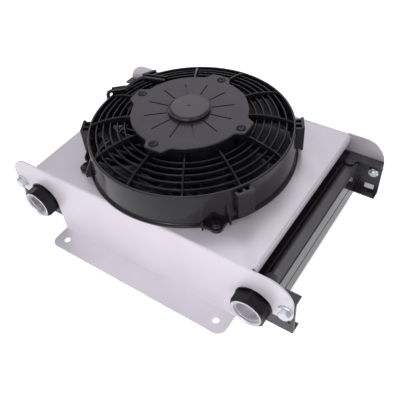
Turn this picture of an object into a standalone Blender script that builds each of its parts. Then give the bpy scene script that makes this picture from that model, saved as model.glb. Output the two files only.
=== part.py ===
"""Hydraulic oil cooler: a brazed oil core between two tanks, under a folded sheet shroud
that carries a 10 inch electric fan with a moulded grille.

Dimensions are in millimetres and are turned into metres when a mesh is made.
Z = 0 is the underside of the feet, the fan's axis is the Z axis, and the ports face -Y.
"""

from math import cos, pi, radians, sin, tan

import bmesh
import bpy
from mathutils import Matrix, Vector

MM = 0.001
GAP = 0.3                    # between pieces that touch
THROUGH = 200.0              # reach of a cutter that goes right through

# Shroud: one sheet, folded
SHEET = 2.0
PLATE_TOP = 110.0            # height of the top plate's upper face
PLATE_HALF_X = 170.0
PANEL_Y = 134.5              # outer face of the front and back panels
BEND_RADIUS = 3.0            # outside of each bend
FOOT_WIDTH = 34.0
FOOT_CORNER = 12.0
FOOT_HOLE_X = 127.0          # 254 mm (10 in) between holes
FOOT_HOLE_Y = 152.4          # 304.8 mm (12 in) between rows
FOOT_HOLE_RADIUS = 4.25
EAR_END_X = 219.5
EAR_TOP_RADIUS = 32.0
EAR_BOTTOM_RADIUS = 13.0
EAR_BOTTOM = 49.0
SIDE_FLANGE_DEPTH = 11.0
SIDE_FLANGE_HALF_Y = 127.5
SHEET_OVERLAP = 6.0          # how far the ears and side flanges run into the folded strip
FAN_OPENING_RADIUS = 132.0

# Core, tanks and channels
CHANNEL_BOTTOM, CHANNEL_TOP = 24.0, 82.0
CHANNEL_HALF_X = 220.5
CHANNEL_SHEET = 3.0
CHANNEL_LIP = 15.0
LIP_TAB = 26.0               # the lip is wider over the tank
LIP_TAB_START_X, LIP_TAB_END_X = 173.0, 186.0
LIP_CORNER = 5.0
LIP_SHEET = 2.0
WEB_HOLE_X, WEB_HOLE_Z = 215.0, 43.5
WEB_HOLE_RADIUS = 2.0
TANK_INNER_X, TANK_OUTER_X = 147.3, 192.0
TANK_WALL = 3.0
TANK_EDGE = 1.5
TANK_GROOVE_HALF, TANK_GROOVE_DEPTH = 1.2, 1.2
CAP_THICKNESS = 3.0
CORE_HALF_X = 147.0
HEADER_THICKNESS = 3.0
TUBE_COUNT = 9
TUBE_THICKNESS = 5.0
TUBE_WALL = 1.2
TUBE_END_DEPTH = 4.0         # solid end of each tube, above and below its oil passage
FIN_COUNT = 8
FIN_THICKNESS = 1.6

# Ports
PORT_X, PORT_Z = 169.5, 52.0
PORT_CUT_RADIUS = 25.0
PORT_FACE_Y = 152.5
PORT_ACROSS_FLATS = 41.3
PORT_BORE_RADIUS = 16.6
PORT_BORE_DEPTH = 15.0
PORT_THROAT_RADIUS = 12.0
PORT_NECK_RADIUS = 17.5
PORT_FACE_INSET, PORT_CHAMFER = 0.6, 2.9

# Ear bolts, M8
EAR_BOLT_X, EAR_BOLT_Z = 210.5, 65.0
M8_RADIUS, M8_HOLE_RADIUS, M8_ACROSS_FLATS = 4.0, 4.5, 13.0
WASHER_RADIUS, WASHER_THICKNESS = 10.0, 1.6
EAR_HEAD_HEIGHT, EAR_NUT_HEIGHT = 5.3, 6.5
EAR_BOLT_OVERRUN = 3.0       # thread showing past the nut
HEXAGON_TURN = 15            # degrees

# Fan
FAN_BASE = PLATE_TOP + GAP
RIM_TOP = PLATE_TOP + 46.2
RIM_INNER_RADIUS = 131.0
FLANGE_RADIUS = 139.5
SPOKE_COUNT = 12
SPOKE_THICKNESS = 2.4
GRILLE_RADII = (84.5, 94.0, 103.5, 113.0, 122.5)
GRILLE_OUTER_HEIGHT, GRILLE_RISE = 45.0, 9.2
RING_WIDTH, RING_DEPTH = 2.0, 4.5
RIM_FOOT_RADIUS = 132.8
LUG_ROOT_RADIUS, LUG_ROOT_HALF = 134.0, 20.0
LUG_TIP_RADIUS, LUG_THICKNESS = 8.5, 4.7
GUSSET_END_RADIUS, GUSSET_RISE = 146.0, 33.0
GUSSET_HALF_THICKNESS, GUSSET_ANGLE = 1.2, 6.6
CLIP_BOTTOM_Z, CLIP_TOP_Z = PLATE_TOP + 8, PLATE_TOP + 45
CLIP_INNER_RADIUS, CLIP_OUTER_RADIUS, CLIP_HALF_WIDTH = 141.0, 144.5, 11.0
CLIP_POSTS = (-9.0, 0.5, 9.0)
CLIP_POST_HALF = 1.6
FAN_BOLT_RADIUS = 143.7      # 203.2 mm (8 in) square
M6_RADIUS, M6_HOLE_RADIUS, M6_ACROSS_FLATS = 3.0, 3.4, 10.0
FAN_BOLT_FLANGE_RADIUS, FAN_BOLT_FLANGE = 6.6, 1.4
FAN_BOLT_HEAD_RADIUS, FAN_BOLT_HEAD = 4.8, 4.4
FAN_BOLT_END = 98.5
FAN_NUT_HEIGHT = 5.5
COVER_TOP = PLATE_TOP + 67.0
COVER_BASE = PLATE_TOP + 60.0
COVER_RADIUS = 75.0
COVER_LOBE_RADIUS, COVER_SHOULDER_RADIUS = 85.0, 78.0
COVER_HOLLOW_INNER, COVER_HOLLOW_OUTER, COVER_TOP_WALL = 18.0, 66.0, 3.5
COVER_BOSS_RADIUS = 16.0
GROOVE_COUNT, GROOVE_FIRST_ANGLE = 12, 10
GROOVE_START, GROOVE_END = 29.0, 56.5
GROOVE_HALF_WIDTH, GROOVE_DEPTH = 0.9, 1.2
COVER_SCREW_RADIUS = 75.7
SCREW_POCKET_RADIUS, SCREW_POCKET_DEPTH = 5.6, 2.2
SCREW_HEAD_RADIUS, SCREW_SHANK_RADIUS, SCREW_SOCKET_RADIUS = 5.2, 2.2, 2.0
SCREW_HOLE_RADIUS, SCREW_BOSS_RADIUS = 2.6, 7.0
CAP_RADIUS, CAP_HEIGHT = 27.5, 6.7
CAP_RECESS = 2.5
HUB_RING_TOP = COVER_BASE - GAP
HUB_RING_BOTTOM = PLATE_TOP + 42.0
HUB_RING_INNER, HUB_RING_OUTER = 60.0, 72.0
LEAD_RADIUS = 2.6
LEAD_OUTSIDE_RADIUS, LEAD_OUTSIDE_ANGLE = 139.0, 181.0
TROUGH_FLOOR = PLATE_TOP + 47.2
TROUGH_WALL, TROUGH_FLOOR_DEPTH, TROUGH_WALL_HEIGHT = 2.0, 4.0, 5.5
CLIP_BOTTOM = PLATE_TOP + 59.6
LEAD_CLIP_HALF_WIDTH, LEAD_CLIP_HEIGHT, LEAD_CLIP_LEVEL = 5.5, 8.0, 4.0
CONNECTOR_INNER_RADIUS, CONNECTOR_OUTER_RADIUS, CONNECTOR_HALF_WIDTH = 136.6, 143.2, 8.0
CONNECTOR_TOP, CONNECTOR_HEIGHT = PLATE_TOP + 22.0, 18.0

# Motor and rotor
CAN_RADIUS = 54.0
CAN_BOTTOM, CAN_TOP = 124.0, 173.2
CAN_WALL, BEARING_SEAT_WALL = 2.0, 2.5
SHAFT_RADIUS = 4.0
SHAFT_BOTTOM, SHAFT_TOP = 112.9, 175.0
BEARING_RADIUS, BEARING_WIDTH = 11.0, 7.0
LOWER_BEARING_BOTTOM, UPPER_BEARING_BOTTOM = 126.3, 166.2
BLADE_COUNT = 10
BLADE_TIP_RADIUS = 128.0
BLADE_BOTTOM, BLADE_TOP = 115.0, 143.0
BLADE_THICKNESS, BLADE_STATIONS = 2.2, 5
ROOT_PITCH, TIP_PITCH = 38.0, 22.0   # degrees
ROOT_CHORD, TIP_CHORD = 30.0, 50.0
TIP_SWEEP = -16.0            # degrees
ROTOR_HUB_RADIUS = 63.0
ROTOR_HUB_BOTTOM, ROTOR_HUB_TOP = 116.0, 149.0
ROTOR_HUB_WALL, ROTOR_HUB_EDGE = 3.5, 3.0
ROTOR_BOSS_WALL, ROTOR_BOSS_HEIGHT = 6.0, 2.0
MAGNET_THICKNESS, MAGNET_BOTTOM, MAGNET_TOP = 7.0, 136.0, 158.0
MAGNET_GAP_ANGLE = 14.0
BRUSH_PLATE_INNER, BRUSH_PLATE_BOTTOM, BRUSH_PLATE_TOP = 18.5, 163.4, 165.4
BRUSH_INNER, BRUSH_OUTER, BRUSH_HALF_WIDTH = 13.4, 25.0, 4.0
BRUSH_BOTTOM, BRUSH_TOP = 157.5, 163.1
STACK_RADIUS, STACK_BOTTOM, STACK_TOP = 43.6, 139.0, 154.0
WINDING_RADIUS, WINDING_BOTTOM, WINDING_TOP = 33.0, 134.0, 156.5
WINDING_ROUND = 4.0
COMMUTATOR_RADIUS, COMMUTATOR_BOTTOM, COMMUTATOR_TOP = 13.1, 156.8, 164.0

# Label, on the back channel
LABEL_LOW, LABEL_HIGH = (201.0, 30.0), (214.5, 38.5)
LABEL_THICKNESS = 0.4

QUARTERS, DIAGONALS = (0, 90, 180, 270), (45, 135, 225, 315)
CLIP_ANGLES = (30, 150, 210, 330)
ROUND_LARGE, ROUND_MEDIUM, ROUND_BEARING, ROUND_SMALL, ROUND_HOLE = 48, 32, 24, 16, 12

FINISHES = {                 # colour, roughness, metallic
    "silver_powder_coat": ((0.66, 0.63, 0.68), 0.45, 0.2),
    "black_paint": ((0.02, 0.02, 0.022), 0.3, 0.0),
    "black_plastic": ((0.035, 0.035, 0.04), 0.45, 0.0),
    "cover_black": ((0.09, 0.09, 0.1), 0.5, 0.0),
    "zinc": ((0.75, 0.77, 0.8), 0.25, 1.0),
    "black_zinc": ((0.04, 0.04, 0.045), 0.3, 0.6),
    "bare_aluminium": ((0.7, 0.71, 0.73), 0.4, 1.0),
    "steel": ((0.5, 0.5, 0.52), 0.35, 1.0),
    "copper": ((0.75, 0.38, 0.2), 0.35, 1.0),
    "ferrite": ((0.08, 0.08, 0.09), 0.7, 0.0),
    "carbon": ((0.05, 0.05, 0.05), 0.6, 0.0),
    "white_label": ((0.85, 0.85, 0.87), 0.5, 0.0),
}


# ---------------------------------------------------------------- shapes

def arc(centre, radius, start, end, steps):
    """Points of an arc from start to end, in degrees."""
    angles = [radians(start + (end - start) * i / steps) for i in range(steps + 1)]
    return [(centre[0] + radius * cos(a), centre[1] + radius * sin(a)) for a in angles]


def polygon(radius, sides, turn=0.0, centre=(0.0, 0.0)):
    """A regular outline whose first corner is at angle turn, in degrees."""
    return arc(centre, radius, turn, turn + 360, sides)[:-1]


def rounded_rectangle(low, high, radius, steps=3):
    (left, bottom), (right, top) = low, high
    corners = ((right, top, 0), (left, top, 90), (left, bottom, 180), (right, bottom, 270))
    points = []
    for u, v, turn in corners:
        inward = (-1 if u == right else 1, -1 if v == top else 1)
        centre = (u + inward[0] * radius, v + inward[1] * radius)
        points += arc(centre, radius, turn, turn + 90, steps)
    return points


def prism(outline, low, high, axis="Z"):
    """An outline extruded along an axis. It is drawn in XY for Z, XZ for Y and YZ for X."""
    place = {
        "Z": lambda u, v, w: (u, v, w),
        "Y": lambda u, v, w: (u, w, v),
        "X": lambda u, v, w: (w, u, v),
    }[axis]
    count = len(outline)
    points = [place(u, v, w) for w in (low, high) for u, v in outline]
    faces = [tuple(range(count)), tuple(range(count, 2 * count))]
    faces += [(i, (i + 1) % count, count + (i + 1) % count, count + i) for i in range(count)]
    return points, faces


def box(low, high):
    corners = [(low[0], low[1]), (high[0], low[1]), (high[0], high[1]), (low[0], high[1])]
    return prism(corners, low[2], high[2])


def bar(start, end, half_width, overrun, low, high):
    """An upright box along the line between two points of the plan."""
    along = (end - start).normalized()
    across = Vector((-along.y, along.x)) * half_width
    near, far = start - along * overrun, end + along * overrun
    corners = (near - across, far - across, far + across, near + across)
    return prism([tuple(c) for c in corners], low, high)


def cylinder(radius, low, high, axis="Z", centre=(0.0, 0.0), sides=ROUND_SMALL):
    return prism(polygon(radius, sides, 180 / sides, centre), low, high, axis)


def turned(profile, sides, start=0.0, sweep=360.0):
    """A closed profile of (radius, height) points turned about Z, all round or over an arc."""
    whole = sweep == 360.0
    rows = sides if whole else sides + 1
    count = len(profile)
    angles = [radians(start + sweep * i / sides) for i in range(rows)]
    points = [(r * cos(a), r * sin(a), z) for a in angles for r, z in profile]
    faces = []
    for i in range(sides):
        here, there = i * count, ((i + 1) % rows) * count
        for j in range(count):
            k = (j + 1) % count
            faces.append((here + j, there + j, there + k, here + k))
    if not whole:
        faces += [tuple(range(count)), tuple(range((rows - 1) * count, rows * count))]
    return points, faces


def closed_on_axis(profile, sides):
    """A turned shape whose profile starts and ends on the axis."""
    inner = profile[1:-1]
    points, faces = turned(inner, sides)
    count = len(inner)
    faces = [f for f in faces if {f[0] % count, f[2] % count} != {0, count - 1}]
    first, last = len(points), len(points) + 1
    points += [(0.0, 0.0, profile[0][1]), (0.0, 0.0, profile[-1][1])]
    for i in range(sides):
        here, there = i * count, ((i + 1) % sides) * count
        faces += [(first, here, there), (last, there + count - 1, here + count - 1)]
    return points, faces


def ring(inner, outer, low, high, sides=ROUND_MEDIUM):
    return turned([(inner, low), (outer, low), (outer, high), (inner, high)], sides)


def moved(shape, matrix):
    points, faces = shape
    return [tuple(matrix @ Vector(p)) for p in points], faces


def turned_about_x(shape):
    """The +Z direction laid along -Y."""
    return moved(shape, Matrix.Rotation(pi / 2, 4, "X"))


def turned_about_z(shape, degrees):
    return moved(shape, Matrix.Rotation(radians(degrees), 4, "Z"))


def turned_to_each(shape, angles):
    return [turned_about_z(shape, angle) for angle in angles]


def shifted(shape, x=0.0, y=0.0, z=0.0):
    return moved(shape, Matrix.Translation((x, y, z)))


# ---------------------------------------------------------------- objects

def mesh_of(name, shapes):
    """One mesh of closed shapes with outward normals, in metres."""
    work = bmesh.new()
    for points, faces in shapes:
        verts = [work.verts.new([c * MM for c in p]) for p in points]
        for face in faces:
            work.faces.new([verts[i] for i in face])
    bmesh.ops.recalc_face_normals(work, faces=work.faces)
    mesh = bpy.data.meshes.new(name)
    work.to_mesh(mesh)
    work.free()
    mesh.shade_smooth()
    mesh.set_sharp_from_angle(angle=radians(35))
    return mesh


def material(name, finish):
    colour, roughness, metallic = FINISHES[finish]
    made = bpy.data.materials.new(name)
    made.use_nodes = True
    shader = made.node_tree.nodes["Principled BSDF"]
    shader.inputs["Base Color"].default_value = (*colour, 1.0)
    shader.inputs["Roughness"].default_value = roughness
    shader.inputs["Metallic"].default_value = metallic
    return made


def place(name, mesh, parent=None):
    made = bpy.data.objects.new(name, mesh)
    bpy.context.collection.objects.link(made)
    made.parent = parent
    return made


def part(name, finish, shapes, parent=None):
    """A visible sub-part."""
    made = place(name, mesh_of(name, shapes), parent)
    made.data.materials.append(material(name + "_finish", finish))
    return made


def combine(target, operation, shapes):
    """Joins shapes to the target, cuts them from it, or keeps what is inside them."""
    name = f"{target.name}_{operation.lower()}_{len(target.modifiers)}"
    helper = place(name, mesh_of(name, shapes))
    helper.hide_render = True
    helper.display_type = "WIRE"
    modifier = target.modifiers.new(operation.title(), "BOOLEAN")
    modifier.operation = operation
    modifier.solver = "EXACT"
    modifier.object = helper


def join(target, shapes):
    combine(target, "UNION", shapes)


def cut(target, shapes):
    combine(target, "DIFFERENCE", shapes)


def mirrored_ends():
    """(name, sign) of the left and right ends."""
    return (("left", -1), ("right", 1))


def four_corners():
    """(name, sign of X, sign of Y) of the four corners."""
    rows = (("front", -1), ("back", 1))
    return [(f"{row}_{end}", sx, sy) for row, sy in rows for end, sx in mirrored_ends()]


# ---------------------------------------------------------------- shroud

def folded_section():
    """Feet, panels and plate as one strip of constant thickness, seen along X."""
    inside = BEND_RADIUS - SHEET
    foot_tip = PANEL_Y + FOOT_WIDTH
    foot_bend = (-PANEL_Y - inside, BEND_RADIUS)
    plate_bend = (-PANEL_Y + BEND_RADIUS, PLATE_TOP - BEND_RADIUS)
    outer = [(-foot_tip, SHEET)]
    outer += arc(foot_bend, inside, -90, 0, 2)
    outer += arc(plate_bend, BEND_RADIUS, 180, 90, 3)
    inner = [(-foot_tip, 0.0)]
    inner += arc(foot_bend, BEND_RADIUS, -90, 0, 3)
    inner += arc(plate_bend, inside, 180, 90, 2)
    outer += [(-y, z) for y, z in reversed(outer)]
    inner += [(-y, z) for y, z in reversed(inner)]
    return outer + inner[::-1]


def ear_outline(side):
    start, bottom = PLATE_HALF_X - SHEET_OVERLAP, EAR_BOTTOM - 1
    upper = (EAR_END_X - EAR_TOP_RADIUS, PLATE_TOP - EAR_TOP_RADIUS)
    lower = (EAR_END_X - EAR_BOTTOM_RADIUS, bottom + EAR_BOTTOM_RADIUS)
    points = [(start, bottom), (start, PLATE_TOP)]
    points += arc(upper, EAR_TOP_RADIUS, 90, 0, 6)
    points += arc(lower, EAR_BOTTOM_RADIUS, 0, -90, 4)
    return [(side * x, z) for x, z in points]


def port_cut_outline(side):
    """The opening round a port: round above, and open down past the foot."""
    below, beyond = -5.0, EAR_END_X + 10
    points = [(PORT_X - PORT_CUT_RADIUS, below)]
    points += arc((PORT_X, PORT_Z), PORT_CUT_RADIUS, 180, 0, 14)
    points += [(PORT_X + PORT_CUT_RADIUS, EAR_BOTTOM), (beyond, EAR_BOTTOM), (beyond, below)]
    return [(side * x, z) for x, z in points]


def side_flange_outline(side):
    x, z, inside = PLATE_HALF_X, PLATE_TOP, BEND_RADIUS - SHEET
    centre = (x - BEND_RADIUS, z - BEND_RADIUS)
    points = [(x - SHEET_OVERLAP, z - SHEET), (x - SHEET_OVERLAP, z)]
    points += arc(centre, BEND_RADIUS, 90, 0, 3)
    points += [(x, z - SIDE_FLANGE_DEPTH), (x - SHEET, z - SIDE_FLANGE_DEPTH)]
    points += arc(centre, inside, 0, 90, 2)
    return [(side * u, v) for u, v in points]


def foot_corner_cut(side_x, side_y):
    """What rounds a foot's outer corner."""
    x, y, r = PORT_X - PORT_CUT_RADIUS, PANEL_Y + FOOT_WIDTH, FOOT_CORNER
    points = [(x + 1, y + 1), (x - r, y + 1)]
    points += arc((x - r, y - r), r, 90, 0, 4)
    points.append((x + 1, y - r))
    return prism([(side_x * u, side_y * v) for u, v in points], -1, SHEET + 1)


def fan_bolt_centre(side_x, side_y):
    return (side_x * FAN_BOLT_RADIUS * cos(pi / 4), side_y * FAN_BOLT_RADIUS * sin(pi / 4))


def ear_bolt_holes():
    centres = [(side * EAR_BOLT_X, EAR_BOLT_Z) for _, side in mirrored_ends()]
    return [cylinder(M8_HOLE_RADIUS, -THROUGH, THROUGH, "Y", centre) for centre in centres]


def make_shroud():
    body_half = PLATE_HALF_X - 4
    shroud = part("shroud", "silver_powder_coat", [prism(folded_section(), -body_half, body_half, "X")])
    for _, side in mirrored_ends():
        for low in (-PANEL_Y, PANEL_Y - SHEET):
            join(shroud, [prism(ear_outline(side), low, low + SHEET, "Y")])
        flange = side_flange_outline(side)
        join(shroud, [prism(flange, -SIDE_FLANGE_HALF_Y, SIDE_FLANGE_HALF_Y, "Y")])
        cut(shroud, [prism(port_cut_outline(side), -THROUGH, THROUGH, "Y")])
    cut(shroud, [foot_corner_cut(sx, sy) for _, sx, sy in four_corners()])
    below, above = PLATE_TOP - 10, PLATE_TOP + 10
    cut(shroud, [cylinder(FAN_OPENING_RADIUS, below, above, sides=ROUND_LARGE)])
    holes = []
    for _, sx, sy in four_corners():
        foot = (sx * FOOT_HOLE_X, sy * FOOT_HOLE_Y)
        holes.append(cylinder(FOOT_HOLE_RADIUS, -5, 5, centre=foot))
        bolt = fan_bolt_centre(sx, sy)
        holes.append(cylinder(M6_HOLE_RADIUS, below, above, centre=bolt, sides=ROUND_HOLE))
    holes += ear_bolt_holes()
    cut(shroud, holes)


# ---------------------------------------------------------------- core, tanks, channels

WEB_OUTER_Y = PANEL_Y - SHEET - GAP
WEB_INNER_Y = WEB_OUTER_Y - CHANNEL_SHEET
BODY_HALF_Y = WEB_INNER_Y - GAP
BODY_BOTTOM = CHANNEL_BOTTOM + LIP_SHEET + GAP
BODY_TOP = CHANNEL_TOP - LIP_SHEET - GAP


def lip_outline(side_x, side_y):
    """The lip at a channel's end, in plan: a strip with a wider rounded tab over the tank."""
    root = WEB_OUTER_Y - 0.5
    edge, tab = WEB_OUTER_Y - CHANNEL_LIP, WEB_OUTER_Y - LIP_TAB
    r = LIP_CORNER
    points = [(LIP_TAB_START_X, root), (CHANNEL_HALF_X, root), (CHANNEL_HALF_X, edge)]
    points += arc((LIP_TAB_END_X + r, edge - r), r, 90, 180, 3)
    points += arc((LIP_TAB_END_X - r, tab + r), r, 0, -90, 3)
    points += arc((LIP_TAB_START_X + r, tab + r), r, 270, 180, 3)
    return [(side_x * x, side_y * y) for x, y in points]


def make_channel(name, side_y, is_front):
    """The core's side plate: a flat web whose ends carry the ear bolts between two lips."""
    low, high = sorted((side_y * WEB_OUTER_Y, side_y * WEB_INNER_Y))
    corners = (-CHANNEL_HALF_X, CHANNEL_BOTTOM), (CHANNEL_HALF_X, CHANNEL_TOP)
    web = prism(rounded_rectangle(*corners, 2.0, 2), low, high, "Y")
    channel = part(name, "black_paint", [web])
    for _, side in mirrored_ends():
        lip = lip_outline(side, side_y)
        lower = prism(lip, CHANNEL_BOTTOM, CHANNEL_BOTTOM + LIP_SHEET)
        upper = prism(lip, CHANNEL_TOP - LIP_SHEET, CHANNEL_TOP)
        join(channel, [lower, upper])
    holes = ear_bolt_holes()
    if is_front:
        for _, side in mirrored_ends():
            neck = (side * PORT_X, PORT_Z)
            holes.append(cylinder(PORT_NECK_RADIUS + GAP, -THROUGH, 0, "Y", neck, ROUND_MEDIUM))
            small = (side * WEB_HOLE_X, WEB_HOLE_Z)
            holes.append(cylinder(WEB_HOLE_RADIUS, -THROUGH, 0, "Y", small, ROUND_HOLE))
    cut(channel, holes)


def tank_outline(side):
    """A channel section, open towards the core, with a groove along its outer face."""
    x0, x1, z0, z1 = TANK_INNER_X, TANK_OUTER_X, BODY_BOTTOM, BODY_TOP
    edge, half, depth = TANK_EDGE, TANK_GROOVE_HALF, TANK_GROOVE_DEPTH
    middle = (z0 + z1) / 2
    outer = [(x0, z0), (x1 - edge, z0), (x1, z0 + edge)]
    outer += [(x1, middle - half), (x1 - depth, middle - half / 2)]
    outer += [(x1 - depth, middle + half / 2), (x1, middle + half)]
    outer += [(x1, z1 - edge), (x1 - edge, z1), (x0, z1)]
    t = TANK_WALL
    inner = [(x0, z1 - t), (x1 - t, z1 - t), (x1 - t, z0 + t), (x0, z0 + t)]
    return [(side * x, z) for x, z in outer + inner]


def make_tanks():
    cap_inner = BODY_HALF_Y - CAP_THICKNESS
    for name, side in mirrored_ends():
        half = cap_inner - GAP
        part(f"{name}_tank", "black_paint", [prism(tank_outline(side), -half, half, "Y")])
        low, high = sorted((side * TANK_INNER_X, side * TANK_OUTER_X))
        cap = rounded_rectangle((low, BODY_BOTTOM), (high, BODY_TOP), TANK_EDGE, 1)
        plate = prism(cap, -BODY_HALF_Y, -cap_inner, "Y")
        front = part(f"{name}_tank_front_cap", "black_paint", [plate])
        cut(front, [cylinder(PORT_THROAT_RADIUS, -THROUGH, 0, "Y", (side * PORT_X, PORT_Z))])
        part(f"{name}_tank_back_cap", "black_paint", [prism(cap, cap_inner, BODY_HALF_Y, "Y")])


def make_core():
    """Headers, flat tubes along X and cross fins, brazed into one piece."""
    half_y = BODY_HALF_Y
    core = part("brazed_core", "bare_aluminium",
                [box((-CORE_HALF_X, -half_y, BODY_BOTTOM), (CORE_HALF_X, half_y, BODY_TOP))])
    inside_x = CORE_HALF_X - HEADER_THICKNESS
    pitch_x = (2 * inside_x + FIN_THICKNESS) / (FIN_COUNT + 1)
    pitch_y = (2 * half_y - TUBE_THICKNESS) / (TUBE_COUNT - 1)
    half_tube = TUBE_THICKNESS / 2
    air_ways, oil_ways = [], []
    for row in range(TUBE_COUNT):
        y = -half_y + half_tube + row * pitch_y
        reach, half_way = CORE_HALF_X + 5, half_tube - TUBE_WALL
        oil_low = (-reach, y - half_way, BODY_BOTTOM + TUBE_END_DEPTH)
        oil_high = (reach, y + half_way, BODY_TOP - TUBE_END_DEPTH)
        oil_ways.append(box(oil_low, oil_high))
        if row == TUBE_COUNT - 1:
            break
        for column in range(FIN_COUNT + 1):
            x = -inside_x + column * pitch_x
            air_low = (x, y + half_tube, 0)
            air_high = (x + pitch_x - FIN_THICKNESS, y + pitch_y - half_tube, PLATE_TOP)
            air_ways.append(box(air_low, air_high))
    cut(core, air_ways)
    cut(core, oil_ways)


def make_port(name, side):
    """Hexagon body with a chamfered face, a wide bore and a neck through the channel."""
    centre = (side * PORT_X, PORT_Z)
    face, back, tank = -PORT_FACE_Y, -(WEB_OUTER_Y + GAP), -(BODY_HALF_Y + GAP)
    half, corner_radius = PORT_ACROSS_FLATS / 2, PORT_ACROSS_FLATS / 2 / cos(pi / 6)
    port = part(name, "black_paint", [prism(polygon(corner_radius, 6, 30, centre), face, back, "Y")])
    chamfer_radius, behind = corner_radius + 1, WEB_OUTER_Y - 1
    chamfer = [(0.0, PORT_FACE_Y), (half - PORT_FACE_INSET, PORT_FACE_Y)]
    chamfer += [(chamfer_radius, PORT_FACE_Y - PORT_CHAMFER), (chamfer_radius, behind), (0.0, behind)]
    cone = turned_about_x(closed_on_axis(chamfer, ROUND_MEDIUM))
    combine(port, "INTERSECT", [shifted(cone, centre[0], 0, centre[1])])
    join(port, [cylinder(PORT_NECK_RADIUS, back - 2, tank, "Y", centre, ROUND_MEDIUM)])
    bore_end = face + PORT_BORE_DEPTH
    cut(port, [cylinder(PORT_BORE_RADIUS, face - 5, bore_end, "Y", centre, ROUND_MEDIUM)])
    cut(port, [cylinder(PORT_THROAT_RADIUS, face, tank + 5, "Y", centre, ROUND_SMALL)])


def make_ear_fasteners():
    """A hexagon bolt and washer outside each ear, and a nut inside each channel end."""
    corner_radius = M8_ACROSS_FLATS / 2 / cos(pi / 6)
    washer_start = PANEL_Y + GAP
    washer_end = washer_start + WASHER_THICKNESS
    head_start = washer_end + GAP
    head_end = head_start + EAR_HEAD_HEIGHT
    nut_end = WEB_INNER_Y - GAP
    nut_start = nut_end - EAR_NUT_HEIGHT
    shank_end = nut_start - EAR_BOLT_OVERRUN
    for corner, side, depth in four_corners():
        centre = (side * EAR_BOLT_X, EAR_BOLT_Z)

        def along(outline, low, high, depth=depth):
            return prism(outline, *sorted((depth * low, depth * high)), "Y")

        hexagon = polygon(corner_radius, 6, HEXAGON_TURN, centre)
        bolt = part(f"{corner}_ear_bolt", "zinc", [along(hexagon, head_start, head_end)])
        shank = polygon(M8_RADIUS, ROUND_SMALL, 0, centre)
        join(bolt, [along(shank, shank_end, head_start + 1)])
        disc = along(polygon(WASHER_RADIUS, ROUND_BEARING, 0, centre), washer_start, washer_end)
        washer = part(f"{corner}_ear_washer", "zinc", [disc])
        nut = part(f"{corner}_ear_nut", "zinc", [along(hexagon, nut_start, nut_end)])
        for piece in (washer, nut):
            cut(piece, [along(polygon(M8_RADIUS + GAP, ROUND_SMALL, 0, centre), 0, THROUGH)])


# ---------------------------------------------------------------- fan housing

def grille_height(radius):
    """Top of the grille rings, which rise from the rim towards the motor."""
    share = (RIM_INNER_RADIUS - radius) / (RIM_INNER_RADIUS - GRILLE_RADII[0])
    return PLATE_TOP + GRILLE_OUTER_HEIGHT + GRILLE_RISE * (1 - (1 - share) ** 1.7)


def spoke_outline():
    """A spoke seen from the side, as (radius, height above the plate)."""
    top = [(132.5, 45.0), (127.0, 48.2), (118.0, 51.8), (105.0, 55.6), (92.0, 58.4)]
    top += [(82.0, 59.2), (70.0, 59.2)]
    bottom = [(70.0, 45.0), (90.0, 46.5), (110.0, 44.0), (132.5, 37.0)]
    return [(r, PLATE_TOP + h) for r, h in top + bottom]


def spoke_shapes():
    half = SPOKE_THICKNESS / 2
    spoke = prism(spoke_outline(), -half, half, "Y")
    return turned_to_each(spoke, [360 * i / SPOKE_COUNT for i in range(SPOKE_COUNT)])


def grille_ring(radius):
    half, top = RING_WIDTH / 2, grille_height(radius)
    return ring(radius - half, radius + half, top - RING_DEPTH, top, ROUND_LARGE)


def ring_wall_profile():
    """The housing's round wall, from its flange on the plate up to its rim."""
    flange = [(RIM_FOOT_RADIUS, FAN_BASE), (FLANGE_RADIUS, FAN_BASE)]
    flange += [(FLANGE_RADIUS, FAN_BASE + 2.6), (136.2, FAN_BASE + 3.2)]
    rim = [(134.4, RIM_TOP - 4), (134.0, RIM_TOP - 1), (132.6, RIM_TOP)]
    rim += [(RIM_INNER_RADIUS, RIM_TOP - 0.8), (RIM_INNER_RADIUS, RIM_TOP - 8)]
    return flange + rim


def lug_shapes():
    """Flat bolt lugs on the diagonals, drawn on +X and turned."""
    tip = arc((FAN_BOLT_RADIUS, 0), LUG_TIP_RADIUS, -70, 70, 6)
    root = LUG_ROOT_RADIUS, LUG_ROOT_HALF
    outline = [(root[0], -root[1]), *tip, root]
    return turned_to_each(prism(outline, FAN_BASE, FAN_BASE + LUG_THICKNESS), DIAGONALS)


def gusset_shapes():
    """Two upright ribs beside each lug."""
    root, end = LUG_ROOT_RADIUS - 0.5, GUSSET_END_RADIUS
    outline = [(root, FAN_BASE + 2), (end, FAN_BASE + 2), (end, FAN_BASE + 8)]
    outline.append((root, FAN_BASE + GUSSET_RISE))
    rib = prism(outline, -GUSSET_HALF_THICKNESS, GUSSET_HALF_THICKNESS, "Y")
    return turned_to_each(rib, [a + side * GUSSET_ANGLE for a in DIAGONALS for side in (-1, 1)])


def clip_shapes():
    """A clip on the ring wall: an upright plate held off the wall by three posts."""
    low, high = CLIP_BOTTOM_Z, CLIP_TOP_Z
    plate_low = (CLIP_INNER_RADIUS, -CLIP_HALF_WIDTH, low)
    plate_high = (CLIP_OUTER_RADIUS, CLIP_HALF_WIDTH, high)
    shapes = [box(plate_low, plate_high)]
    for y in CLIP_POSTS:
        post_low = (LUG_ROOT_RADIUS - 0.5, y - CLIP_POST_HALF, low + 2)
        post_high = (CLIP_INNER_RADIUS + 1.5, y + CLIP_POST_HALF, high - 2)
        shapes.append(box(post_low, post_high))
    return shapes


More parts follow.
